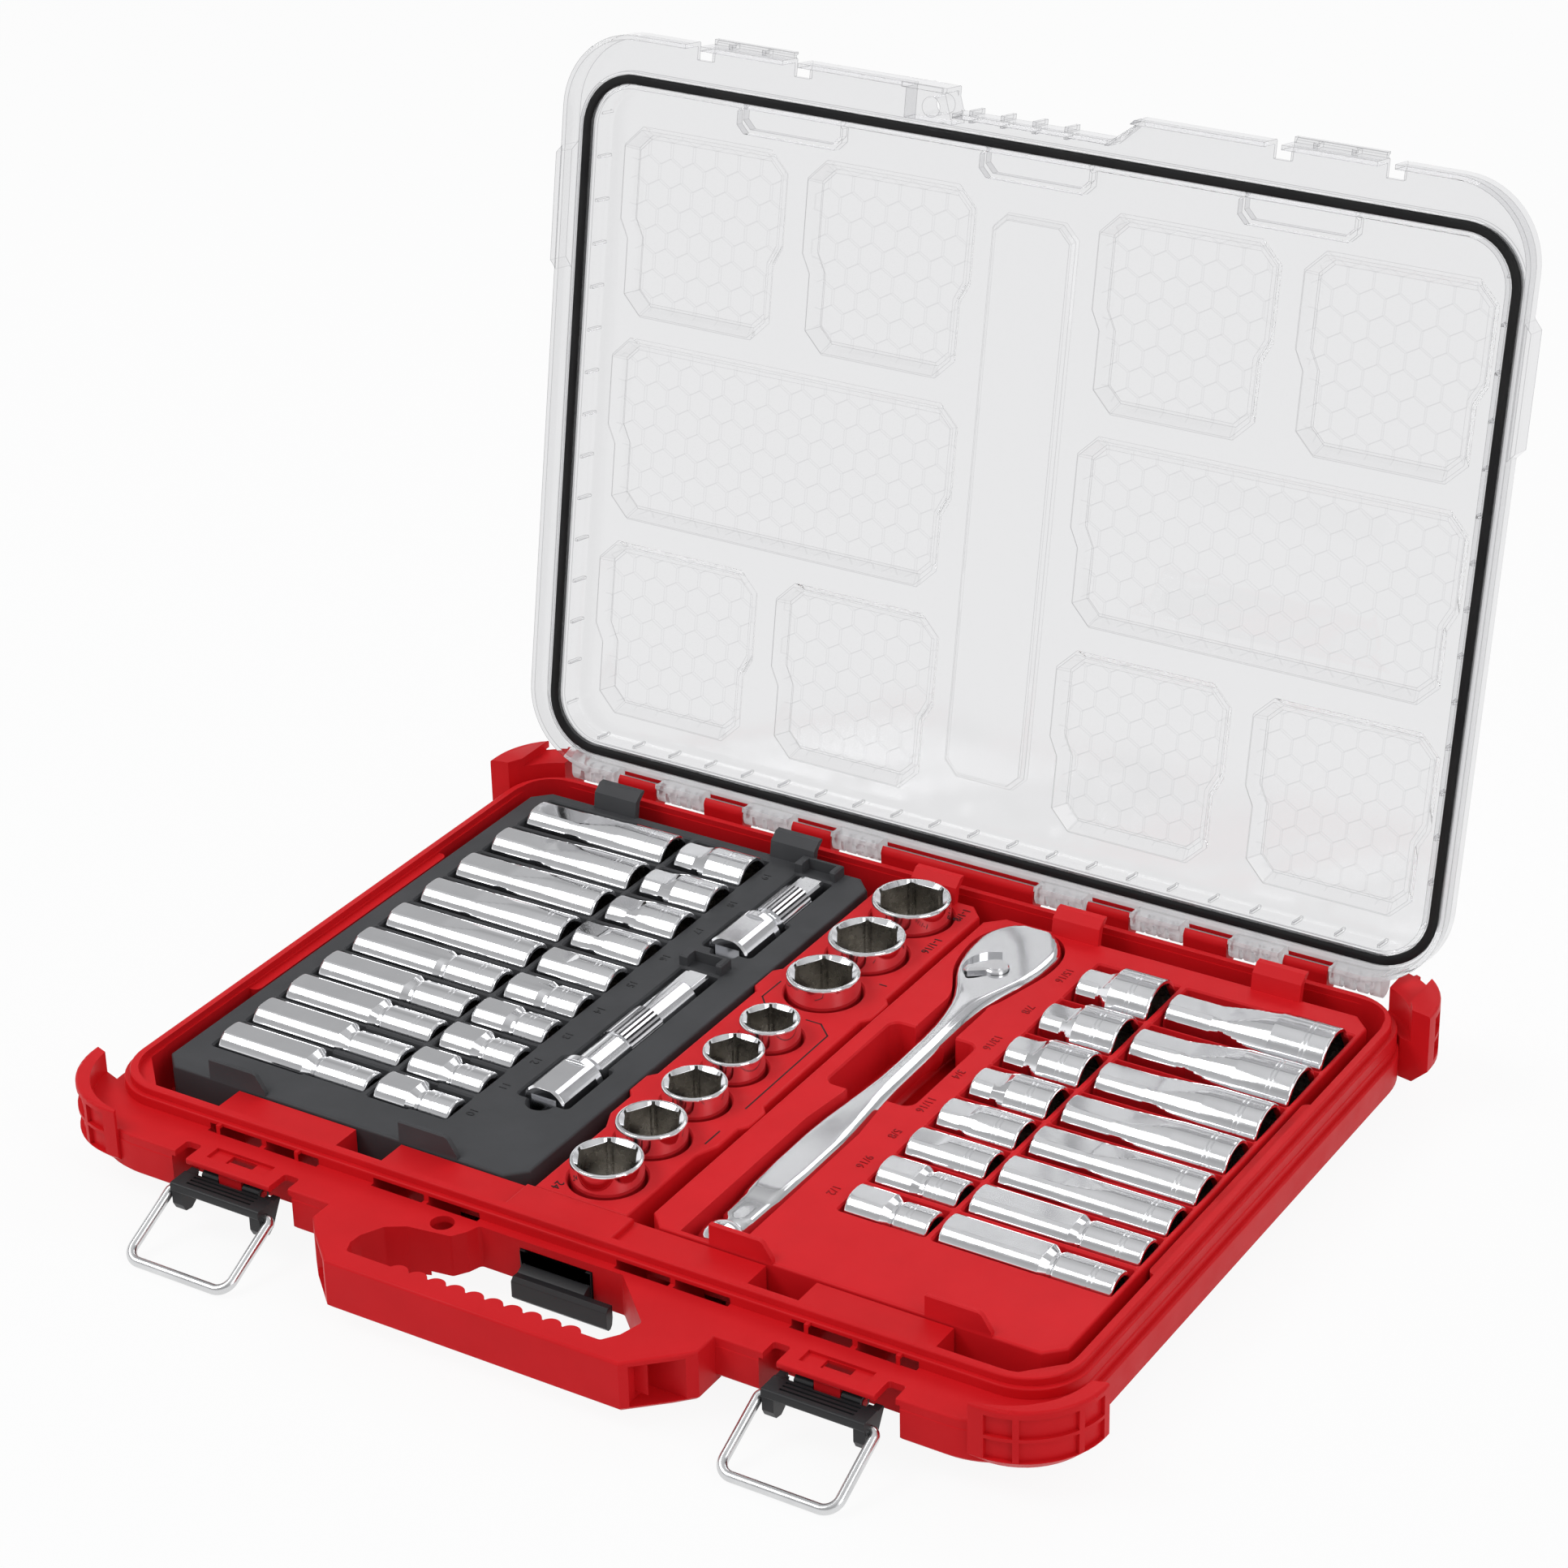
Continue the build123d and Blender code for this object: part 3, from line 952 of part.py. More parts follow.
def make_bail(middle):
    """Wire loop: two short pivots turned inward, two legs and a far bar."""
    drop = RIM_Z - BAIL_R - FLOOR_GAP + BAIL_PIVOT_Z
    run = math.sqrt(BAIL_LENGTH ** 2 - drop ** 2)
    far_y, far_z = BAIL_PIVOT_Y - run, BAIL_PIVOT_Z - drop
    inner = LEVER_HALF - 4.2
    points = [(middle - inner, BAIL_PIVOT_Y, BAIL_PIVOT_Z),
              (middle - BAIL_HALF, BAIL_PIVOT_Y, BAIL_PIVOT_Z),
              (middle - BAIL_HALF, far_y, far_z), (middle + BAIL_HALF, far_y, far_z),
              (middle + BAIL_HALF, BAIL_PIVOT_Y, BAIL_PIVOT_Z),
              (middle + inner, BAIL_PIVOT_Y, BAIL_PIVOT_Z)]
    path = FilletPolyline(*points, radius=[2.6, 6.5, 6.5, 2.6])
    start = Plane(origin=path @ 0, z_dir=path % 0)
    return sweep(start * Circle(BAIL_R), path=path)


def make_centre_latch():
    """Sprung tab behind the handle: block in its pocket and a wide pull lip."""
    body = block(CATCH_X0 + CATCH_GAP, CATCH_X1 - CATCH_GAP, WALL_Y - 1, WALL_Y + 9,
                 CATCH_Z0 + CATCH_GAP, CATCH_Z1 - CATCH_GAP)
    body -= block(CATCH_X0 + 3, CATCH_X1 - 3, WALL_Y - 3, WALL_Y + 6, CATCH_Z0 + 4, CATCH_Z1)
    lip = along_x([(-174.0, -18.5), (-177.4, -20.4), (-180.6, -20.2), (-182.2, -22.0),
                   (-182.2, -29.5), (-181, -31), (-179.4, -31), (-178.2, -29.5),
                   (-177.6, -26.4), (-172.4 + 0.0, -26.4), (-172.4, -18.5)],
                  -9, 38)
    lip -= slab([(24, -171), (24, -177.6), (40, -177.6), (40, -171)], -40, -10)
    tooth = block(-6, 20, -173, -171, -26.4, -18.5)
    return body + [lip, tooth]


for side, name in zip(SIDES, ("left", "right")):
    save(f"latch_lever_{name}", make_lever(side * LATCH_X))
    save(f"latch_bail_{name}", make_bail(side * LATCH_X))
save("centre_latch", make_centre_latch())
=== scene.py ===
import logging
import math
from dataclasses import dataclass, field
from enum import Enum

import bmesh
import bpy
from mathutils import Matrix, Vector


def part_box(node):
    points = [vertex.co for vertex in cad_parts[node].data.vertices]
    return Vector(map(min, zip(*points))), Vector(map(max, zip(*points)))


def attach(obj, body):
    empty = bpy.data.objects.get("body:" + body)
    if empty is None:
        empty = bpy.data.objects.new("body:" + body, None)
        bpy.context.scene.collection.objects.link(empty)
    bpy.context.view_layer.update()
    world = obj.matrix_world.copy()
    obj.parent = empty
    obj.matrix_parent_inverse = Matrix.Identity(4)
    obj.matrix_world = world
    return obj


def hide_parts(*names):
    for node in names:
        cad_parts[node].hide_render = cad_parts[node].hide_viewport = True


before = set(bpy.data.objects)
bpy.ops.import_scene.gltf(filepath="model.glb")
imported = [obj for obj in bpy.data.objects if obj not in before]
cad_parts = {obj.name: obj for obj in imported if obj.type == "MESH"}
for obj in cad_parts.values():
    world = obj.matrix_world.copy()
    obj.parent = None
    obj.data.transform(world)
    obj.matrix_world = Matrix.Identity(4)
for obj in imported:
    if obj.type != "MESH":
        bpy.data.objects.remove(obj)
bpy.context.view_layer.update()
LOG = logging.getLogger("socket_set")
MM = 0.001
RIM = 0.040  # height of the rim's crest over the floor, in metres
WELD = 0.000002  # points nearer than this are one, in metres
SLIVER = 0.000001  # edges shorter than this are taken out, in metres
MIX_FACTOR = 0  # a mix node's sockets: its factor, then each pair that it mixes
MIX_VECTORS, MIX_VECTOR_OUT = (4, 5), 1
MIX_COLOURS, MIX_COLOUR_OUT = (6, 7), 2
HEXAGON_STEP = (0.5, math.sqrt(3) / 2, 0.0)  # from one cell of a honeycomb to the next

Point = tuple[float, float, float]
Colour = tuple[float, float, float]


def at(x: float, y: float, z: float) -> Vector:
    """A point given in millimetres from the rim's crest, in metres from the floor."""
    return Vector((x * MM, y * MM, z * MM + RIM))


class Slot(Enum):
    """The record's material slots."""

    RED = "red_plastic"
    GREY = "grey_plastic"
    BLACK = "black_plastic"
    CLEAR = "clear_plastic"
    SEAL = "seal_rubber"
    WIRE = "zinc_wire"
    CHROME = "chrome_steel"


# ---------------------------------------------------------------- finishes
class NodeDesk:
    """A material's node tree, with short calls for adding and joining nodes."""

    def __init__(self, name: str) -> None:
        """Start an empty material.

        Args:
            name: the material's name.
        """
        self.material = bpy.data.materials.new(name)
        self.material.use_nodes = True
        self.tree = self.material.node_tree
        self.tree.nodes.clear()
        self.output = self.tree.nodes.new("ShaderNodeOutputMaterial")
        self.object_coords = self.add("ShaderNodeTexCoord").outputs["Object"]

    def add(self, kind: str, **settings: object) -> bpy.types.Node:
        """Add a node.

        Args:
            kind: the node's type.
            settings: properties to set on the node.

        Returns:
            The new node.
        """
        node = self.tree.nodes.new(kind)
        for key, value in settings.items():
            setattr(node, key, value)
        return node

    def shader(self, values: dict[str, float]) -> bpy.types.Node:
        """Add the main shader.

        Args:
            values: what its sockets are set to.

        Returns:
            The shader's node.
        """
        node = self.add("ShaderNodeBsdfPrincipled")
        for key, value in values.items():
            node.inputs[key].default_value = value
        return node

    def join(self, source: bpy.types.NodeSocket, target: bpy.types.NodeSocket) -> None:
        """Link one socket to another."""
        self.tree.links.new(source, target)

    def show(self, shader: bpy.types.NodeSocket) -> bpy.types.Material:
        """Put a shader on the surface and hand the material over."""
        self.join(shader, self.output.inputs["Surface"])
        return self.material

    def switch(self, *inputs: bpy.types.NodeSocket) -> bpy.types.NodeSocket:
        """Mix two shaders.

        Args:
            inputs: the factor, then the shaders shown at 0 and at 1.

        Returns:
            The mixed shader.
        """
        mix = self.add("ShaderNodeMixShader")
        for source, target in zip(inputs, mix.inputs):
            self.join(source, target)
        return mix.outputs["Shader"]

    def noise(self, size: float, detail: float, roughness: float = 0.55,
              stretch: Point = (1.0, 1.0, 1.0)) -> bpy.types.NodeSocket:
        """Add a noise pattern in object space.

        Args:
            size: the size of its patches in metres.
            detail: how many finer layers it has.
            roughness: how strong the finer layers are.
            stretch: scale along each axis.

        Returns:
            The pattern's value, about 0 to 1.
        """
        place = self.add("ShaderNodeMapping")
        place.inputs["Scale"].default_value = stretch
        self.join(self.object_coords, place.inputs["Vector"])
        node = self.add("ShaderNodeTexNoise")
        node.inputs["Scale"].default_value = 1.0 / size
        node.inputs["Detail"].default_value = detail
        node.inputs["Roughness"].default_value = roughness
        self.join(place.outputs["Vector"], node.inputs["Vector"])
        return node.outputs["Fac"]

    def spread(self, value: bpy.types.NodeSocket, low: float, high: float,
               source: tuple[float, float] = (0.3, 0.7)) -> bpy.types.NodeSocket:
        """Map a value to a range.

        Args:
            value: what is mapped.
            low: the result at the source range's start.
            high: the result at its end.
            source: the range mapped from.

        Returns:
            The mapped value.
        """
        node = self.add("ShaderNodeMapRange")
        node.inputs["From Min"].default_value = source[0]
        node.inputs["From Max"].default_value = source[1]
        node.inputs["To Min"].default_value = low
        node.inputs["To Max"].default_value = high
        self.join(value, node.inputs["Value"])
        return node.outputs["Result"]

    def blend(self, factor: bpy.types.NodeSocket, first: Colour,
              second: Colour) -> bpy.types.NodeSocket:
        """Mix two colours by a value.

        Args:
            factor: 0 for the first, 1 for the second.
            first: a linear colour.
            second: a linear colour.

        Returns:
            The mixed colour.
        """
        node = self.add("ShaderNodeMix", data_type="RGBA")
        for socket, colour in zip(MIX_COLOURS, (first, second)):
            node.inputs[socket].default_value = (*colour, 1.0)
        self.join(factor, node.inputs[MIX_FACTOR])
        return node.outputs[MIX_COLOUR_OUT]

    def vector(self, operation: str, first: bpy.types.NodeSocket,
               *others: Point) -> bpy.types.NodeSocket:
        """Work on a vector.

        Args:
            operation: what is done, such as MULTIPLY or WRAP.
            first: the vector.
            others: the fixed vectors that it is done with.

        Returns:
            The resulting vector or number.
        """
        node = self.add("ShaderNodeVectorMath", operation=operation)
        self.join(first, node.inputs[0])
        for index, other in enumerate(others, 1):
            node.inputs[index].default_value = other
        gives_number = operation in ("DOT_PRODUCT", "LENGTH")
        return node.outputs["Value" if gives_number else "Vector"]

    def sum(self, first: bpy.types.NodeSocket, second: bpy.types.NodeSocket,
            operation: str) -> bpy.types.NodeSocket:
        """Work out one value from two.

        Args:
            first: the first value.
            second: the second value.
            operation: what is done with them, such as ADD or MULTIPLY.

        Returns:
            The result.
        """
        node = self.add("ShaderNodeMath", operation=operation)
        self.join(first, node.inputs[0])
        self.join(second, node.inputs[1])
        return node.outputs[0]

    def bump(self, height: bpy.types.NodeSocket, depth: float, strength: float,
             under: bpy.types.NodeSocket | None = None) -> bpy.types.NodeSocket:
        """Turn a height into a normal.

        Args:
            height: the height pattern.
            depth: the height of its full step in metres.
            strength: how much of it is used.
            under: a normal that it is added to.

        Returns:
            The bumped normal.
        """
        node = self.add("ShaderNodeBump")
        node.inputs["Distance"].default_value = depth
        node.inputs["Strength"].default_value = strength
        self.join(height, node.inputs["Height"])
        if under is not None:
            self.join(under, node.inputs["Normal"])
        return node.outputs["Normal"]


@dataclass(frozen=True)
class MouldedPlastic:
    """Injection-moulded plastic with an eroded grain and a slight unevenness of colour."""

    name: str
    slot: Slot
    colour: Colour
    shade: Colour
    roughness: tuple[float, float]
    grain: float = 0.0006
    grain_depth: float = 0.00003
    grain_strength: float = 0.35
    patch: float = 0.035
    smear_share: float = 0.4
    gloss: float = 0.12
    ior: float = 1.49

    def make(self) -> bpy.types.Material:
        """Build the material.

        Returns:
            The material.
        """
        desk = NodeDesk(self.name)
        shader = desk.shader({"Specular IOR Level": self.gloss, "IOR": self.ior})
        patches = desk.noise(self.patch, 3.0)
        grain = desk.noise(self.grain, 2.0, 0.6)
        desk.join(desk.blend(desk.spread(patches, 0.0, 1.0), self.colour, self.shade),
                  shader.inputs["Base Color"])
        smear = desk.noise(self.patch * self.smear_share, 4.0, 0.6)
        desk.join(desk.spread(smear, *self.roughness), shader.inputs["Roughness"])
        desk.join(desk.bump(grain, self.grain_depth, self.grain_strength), shader.inputs["Normal"])
        return desk.show(shader.outputs["BSDF"])


@dataclass(frozen=True)
class ClearPlastic:
    """Clear moulded plastic: painted shade darkens its rounded edges, a faint honeycomb on its domes."""

    name: str
    slot: Slot
    tint: Colour
    # painted shade laid along the rounded edges
    edge_painted_shade: Colour
    line_tint: Colour
    roughness: tuple[float, float]
    cell: float
    tilt: float
    hinge: Point
    dome_height: float
    edge_width: float = 0.0007
    edge_samples: int = 8
    edge_span: tuple[float, float] = (0.90, 0.998)
    line_span: tuple[float, float] = (0.465, 0.492)
    dome_fade: float = 0.0004
    cloud: float = 0.05
    ior: float = 1.03
    coat: float = 0.65
    coat_ior: float = 1.5
    coat_roughness: float = 0.1
    shadow_tint: float = 0.93

    def honeycomb(self, desk: NodeDesk) -> bpy.types.NodeSocket:
        """Lines of a honeycomb on the domes of the open lid.

        Args:
            desk: the material being made.

        Returns:
            1 on the lines and 0 elsewhere.
        """
        turn = desk.add("ShaderNodeMapping")
        turn.inputs["Rotation"].default_value = (self.tilt, 0.0, 0.0)
        desk.join(desk.object_coords, turn.inputs["Vector"])
        half = (*HEXAGON_STEP[:2], 1.0)
        plan = desk.vector("MULTIPLY", turn.outputs["Vector"], (1 / self.cell, 1 / self.cell, 0.0))
        shifted = desk.vector("SUBTRACT", plan, HEXAGON_STEP)
        near, far = (desk.vector("WRAP", start, half, tuple(-h for h in half))
                     for start in (plan, shifted))
        pick = desk.sum(desk.vector("LENGTH", near), desk.vector("LENGTH", far), "GREATER_THAN")
        nearest = desk.add("ShaderNodeMix", data_type="VECTOR")
        desk.join(pick, nearest.inputs[MIX_FACTOR])
        for offset, socket in zip((near, far), MIX_VECTORS):
            desk.join(offset, nearest.inputs[socket])
        within = desk.vector("ABSOLUTE", nearest.outputs[MIX_VECTOR_OUT])
        slanted = desk.vector("DOT_PRODUCT", within, HEXAGON_STEP)
        upright = desk.vector("DOT_PRODUCT", within, (1.0, 0.0, 0.0))
        lines = desk.spread(desk.sum(slanted, upright, "MAXIMUM"), 0.0, 1.0, self.line_span)
        foot = (Matrix.Rotation(self.tilt, 3, "X") @ Vector(self.hinge)).z
        depth = desk.vector("DOT_PRODUCT", turn.outputs["Vector"], (0.0, 0.0, 1.0))
        over = foot + self.dome_height
        domes = desk.spread(depth, 0.0, 1.0, (over - self.dome_fade, over))
        return desk.sum(lines, domes, "MULTIPLY")

    def rounded_edges(self, desk: NodeDesk) -> bpy.types.NodeSocket:
        """Where the moulding's edges are, which the painted edge shade darkens.

        Args:
            desk: the material being made.

        Returns:
            1 at an edge and 0 on broad faces.
        """
        soft = desk.add("ShaderNodeBevel", samples=self.edge_samples)
        soft.inputs["Radius"].default_value = self.edge_width
        plain = desk.add("ShaderNodeNewGeometry")
        dot = desk.add("ShaderNodeVectorMath", operation="DOT_PRODUCT")
        desk.join(soft.outputs["Normal"], dot.inputs[0])
        desk.join(plain.outputs["Normal"], dot.inputs[1])
        return desk.spread(dot.outputs["Value"], 1.0, 0.0, self.edge_span)

    def make(self) -> bpy.types.Material:
        """Build the material; lamps shine through it.

        Returns:
            The material.
        """
        desk = NodeDesk(self.name)
        shader = desk.shader({
            "IOR": self.ior, "Transmission Weight": 1.0, "Coat Weight": self.coat,
            "Coat IOR": self.coat_ior, "Coat Roughness": self.coat_roughness})
        cloud = desk.noise(self.cloud, 3.0)
        lined = desk.blend(self.honeycomb(desk), self.tint, self.line_tint)
        # painted shade: the rounded edges are darkened towards this colour, standing in for the dark
        # lines that refraction draws there
        edged = desk.add("ShaderNodeMix", data_type="RGBA")
        desk.join(self.rounded_edges(desk), edged.inputs[MIX_FACTOR])
        desk.join(lined, edged.inputs[MIX_COLOURS[0]])
        edged.inputs[MIX_COLOURS[1]].default_value = (*self.edge_painted_shade, 1.0)
        desk.join(edged.outputs[MIX_COLOUR_OUT], shader.inputs["Base Color"])
        desk.join(desk.spread(cloud, *self.roughness), shader.inputs["Roughness"])
        open_way = desk.add("ShaderNodeBsdfTransparent")
        open_way.inputs["Color"].default_value = (*(self.shadow_tint,) * 3, 1.0)
        rays = desk.add("ShaderNodeLightPath")
        return desk.show(desk.switch(rays.outputs["Is Shadow Ray"], shader.outputs["BSDF"],
                                     open_way.outputs["BSDF"]))


@dataclass(frozen=True)
class FrostedPlastic:
    """Clear plastic whose many small faces scatter light, as at the hinge."""

    name: str
    slot: Slot
    tint: Colour
    shade: Colour
    roughness: tuple[float, float]
    passed: float = 0.6
    ior: float = 1.12
    cloud: float = 0.012
    grain: float = 0.0015
    grain_depth: float = 0.00002
    grain_strength: float = 0.3

    def make(self) -> bpy.types.Material:
        """Build the material.

        Returns:
            The material.
        """
        desk = NodeDesk(self.name)
        shader = desk.shader({"IOR": self.ior, "Transmission Weight": self.passed})
        cloud = desk.noise(self.cloud, 3.0)
        desk.join(desk.blend(desk.spread(cloud, 0.0, 1.0), self.tint, self.shade),
                  shader.inputs["Base Color"])
        desk.join(desk.spread(cloud, *self.roughness), shader.inputs["Roughness"])
        desk.join(desk.bump(desk.noise(self.grain, 2.0), self.grain_depth, self.grain_strength),
                  shader.inputs["Normal"])
        return desk.show(shader.outputs["BSDF"])


@dataclass(frozen=True)
class Metal:
    """Plated or drawn metal with fine polishing marks and a slightly uneven surface."""

    name: str
    slot: Slot
    colour: Colour
    dull: Colour
    roughness: tuple[float, float]
    marks: float = 0.0004
    mark_depth: float = 0.0000015
    mark_strength: float = 0.5
    wave: float = 0.02
    wave_depth: float = 0.000008
    wave_strength: float = 0.6
    smear_share: float = 0.3
    stretch: Point = (1.0, 1.0, 1.0)

    def make(self) -> bpy.types.Material:
        """Build the material.

        Returns:
            The material.
        """
        desk = NodeDesk(self.name)
        shader = desk.shader({"Metallic": 1.0})
        cloud = desk.noise(self.wave, 4.0, 0.6)
        desk.join(desk.blend(desk.spread(cloud, 0.0, 1.0), self.colour, self.dull),
                  shader.inputs["Base Color"])
        fine = desk.noise(self.marks, 3.0, 0.6, self.stretch)
        smear = desk.noise(self.wave * self.smear_share, 5.0, 0.65)
        desk.join(desk.spread(smear, *self.roughness), shader.inputs["Roughness"])
        waves = desk.bump(desk.noise(self.wave, 1.0), self.wave_depth, self.wave_strength)
        desk.join(desk.bump(fine, self.mark_depth, self.mark_strength, waves),
                  shader.inputs["Normal"])
        return desk.show(shader.outputs["BSDF"])


LID_TILT = math.radians(100.34)
LID_HINGE = at(0, 176.5, 0)

RED = MouldedPlastic("red_moulding", Slot.RED, (0.68, 0.012, 0.017), (0.62, 0.010, 0.014),
                     (0.38, 0.48))
# painted shade: the inch tray's raised numbers are moulded in the tray's own red; this darker red stands
# in for their shading
RED_NUMBERS_PAINTED_SHADE = MouldedPlastic("red_numbers_painted_shade", Slot.RED, (0.30, 0.006, 0.009),
                          (0.26, 0.005, 0.007), (0.34, 0.44))
TRAY_RED = MouldedPlastic("red_tray_moulding", Slot.RED, (0.72, 0.015, 0.021),
                          (0.66, 0.013, 0.018), (0.36, 0.46))
GREY = MouldedPlastic("grey_tray_moulding", Slot.GREY, (0.066, 0.067, 0.071),
                      (0.056, 0.057, 0.060), (0.42, 0.54), grain_strength=0.5, gloss=0.16)
BLACK = MouldedPlastic("black_latch_moulding", Slot.BLACK, (0.022, 0.022, 0.024),
                       (0.017, 0.017, 0.018), (0.34, 0.46), gloss=0.3)
INK = MouldedPlastic("black_print", Slot.BLACK, (0.022, 0.018, 0.018), (0.030, 0.022, 0.022),
                     (0.45, 0.6))
RUBBER = MouldedPlastic("seal_rubber", Slot.SEAL, (0.012, 0.012, 0.013), (0.018, 0.018, 0.018),
                        (0.5, 0.65), grain=0.0009, grain_strength=0.6)
# the second colour is the painted shade along the lid's edges
CLEAR = ClearPlastic("clear_lid_moulding", Slot.CLEAR, (0.82, 0.82, 0.828),
                     (0.34, 0.34, 0.35), (0.72, 0.72, 0.73), (0.0, 0.02), 0.0125, LID_TILT,
                     tuple(LID_HINGE), 0.0206)
CLEAR_HINGE = FrostedPlastic("clear_hinge_moulding", Slot.CLEAR, (0.84, 0.84, 0.85),
                             (0.74, 0.74, 0.75), (0.16, 0.26))
CHROME = Metal("polished_chrome", Slot.CHROME, (0.86, 0.865, 0.88), (0.80, 0.805, 0.82),
               (0.06, 0.13))
SATIN = Metal("satin_chrome", Slot.CHROME, (0.80, 0.80, 0.81), (0.74, 0.74, 0.75),
              (0.16, 0.26))
# painted shade: the metal inside the hexagon, bore and square is darker than the chrome outside,
# standing in for the shade in the recess; its rougher surface is its own
BORE = Metal("socket_bore_painted_shade", Slot.CHROME, (0.62, 0.60, 0.57), (0.34, 0.32, 0.29),
             (0.20, 0.34), wave_depth=0.00001)
# painted shade: near-black metal laid on the faces down in the band's grooves, standing in for the shade
# inside them
GROOVE_PAINTED_SHADE = Metal("groove_painted_shade", Slot.CHROME, (0.20, 0.20, 0.21), (0.12, 0.12, 0.12),
               (0.25, 0.4))
WIRE = Metal("bright_wire", Slot.WIRE, (0.74, 0.745, 0.75), (0.62, 0.625, 0.63),
             (0.16, 0.30), marks=0.0003, mark_depth=0.00001)

Finish = MouldedPlastic | ClearPlastic | FrostedPlastic | Metal


class PaintShop:
    """Makes each finish's material once and hands it out."""

    made: dict[str, bpy.types.Material] = {}

    @classmethod
    def material(cls, finish: Finish) -> bpy.types.Material:
        """The material of a finish, made on first use."""
        if finish.name not in cls.made:
            cls.made[finish.name] = finish.make()
        return cls.made[finish.name]


# ---------------------------------------------------------------- pieces
def merged_copy(node: str, flat: float = 0.4) -> bmesh.types.BMesh:
    """A closed copy of a solid's mesh, its flat faces made whole.

    Args:
        node: the solid's name.
        flat: faces that meet within this angle, in degrees, become one; none do at 0.

    Returns:
        The copy as a bmesh.
    """
    work = bmesh.new()
    work.from_mesh(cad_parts[node].data)
    bmesh.ops.remove_doubles(work, verts=work.verts, dist=WELD)
    bmesh.ops.dissolve_degenerate(work, edges=work.edges, dist=SLIVER)
    if flat:
        bmesh.ops.dissolve_limit(work, angle_limit=math.radians(flat), verts=work.verts,
                                 edges=work.edges, use_dissolve_boundaries=False)
    return work


def join_into(work: bmesh.types.BMesh, extra: bmesh.types.BMesh) -> None:
    """Add a bmesh to another and free it."""
    spare = bpy.data.meshes.new("spare")
    extra.to_mesh(spare)
    extra.free()
    work.from_mesh(spare)
    bpy.data.meshes.remove(spare)


def cut_away(work: bmesh.types.BMesh, cutter: bmesh.types.BMesh) -> bmesh.types.BMesh:
    """Cut one closed shape out of another.

    Args:
        work: the shape that is cut; it is freed.
        cutter: the shape that is taken away; it is freed.

    Returns:
        What is left.
    """
    holders = []
    for name, shape in (("whole", work), ("cutter", cutter)):
        mesh = bpy.data.meshes.new(name)
        shape.to_mesh(mesh)
        shape.free()
        holder = bpy.data.objects.new(name, mesh)
        bpy.context.scene.collection.objects.link(holder)
        holders.append(holder)
    whole, tool = holders
    cut = whole.modifiers.new("cut", "BOOLEAN")
    cut.operation, cut.solver, cut.object = "DIFFERENCE", "EXACT", tool
    bpy.context.view_layer.update()
    graph = bpy.context.evaluated_depsgraph_get()
    rest = bmesh.new()
    rest.from_mesh(bpy.data.meshes.new_from_object(whole.evaluated_get(graph)))
    for holder in holders:
        bpy.data.objects.remove(holder)
    return rest


def place_piece(work: bmesh.types.BMesh, name: str, body: str, finish: Finish,
                stands_for: tuple[str, ...] = (), smooth: float = 32.0,
                bevel: float = 0.0, segments: int = 2,
                inner: Finish | None = None) -> bpy.types.Object:
    """Turn a bmesh into a finished piece that rides on a body.

    Args:
        work: the piece's shape, in the frame's coordinates; it is freed.
        name: the piece's name.
        body: the CAD body that it rides on.
        finish: its finish.
        stands_for: the solids that it replaces.
        smooth: edges sharper than this, in degrees, stay sharp.
        bevel: the width of its rounded edges in metres, or 0.
        segments: the faces across each rounded edge.
        inner: the finish of faces with material index 1, or None for one finish all over.

    Returns:
        The new object.
    """
    mesh = bpy.data.meshes.new(name)
    work.to_mesh(mesh)
    work.free()
    for layer in ("custom_normal", "sharp_face", "sharp_edge"):
        if layer in mesh.attributes:
            mesh.attributes.remove(mesh.attributes[layer])
    mesh.materials.append(PaintShop.material(finish))
    if inner is None:
        mesh.polygons.foreach_set("material_index", [0] * len(mesh.polygons))
    else:
        mesh.materials.append(PaintShop.material(inner))
    mesh.polygons.foreach_set("use_smooth", [True] * len(mesh.polygons))
    mesh.set_sharp_from_angle(angle=math.radians(smooth))
    piece = bpy.data.objects.new(name, mesh)
    bpy.context.scene.collection.objects.link(piece)
    if bevel:
        rounding = piece.modifiers.new("rounded_edges", "BEVEL")
        rounding.width = bevel
        rounding.segments = segments
        rounding.limit_method = "ANGLE"
        rounding.angle_limit = math.radians(smooth)
        rounding.use_clamp_overlap = True
        rounding.harden_normals = True
        rounding.miter_outer = "MITER_SHARP"
    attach(piece, body)
    if stands_for:
        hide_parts(*stands_for)
    LOG.info("%s on %s: %d faces", name, body, len(mesh.polygons))
    return piece


@dataclass
class Moulding:
    """A moulded part whose shape is its solid's, with rounded edges and a finish."""

    node: str
    name: str
    body: str
    finish: Finish
    bevel: float = 0.0003
    smooth: float = 32.0
    flat: float = 0.4

    def build(self) -> bpy.types.Object:
        """Copy, round and dress the part."""
        return place_piece(merged_copy(self.node, self.flat), self.name, self.body, self.finish,
                           (self.node,), self.smooth, self.bevel)


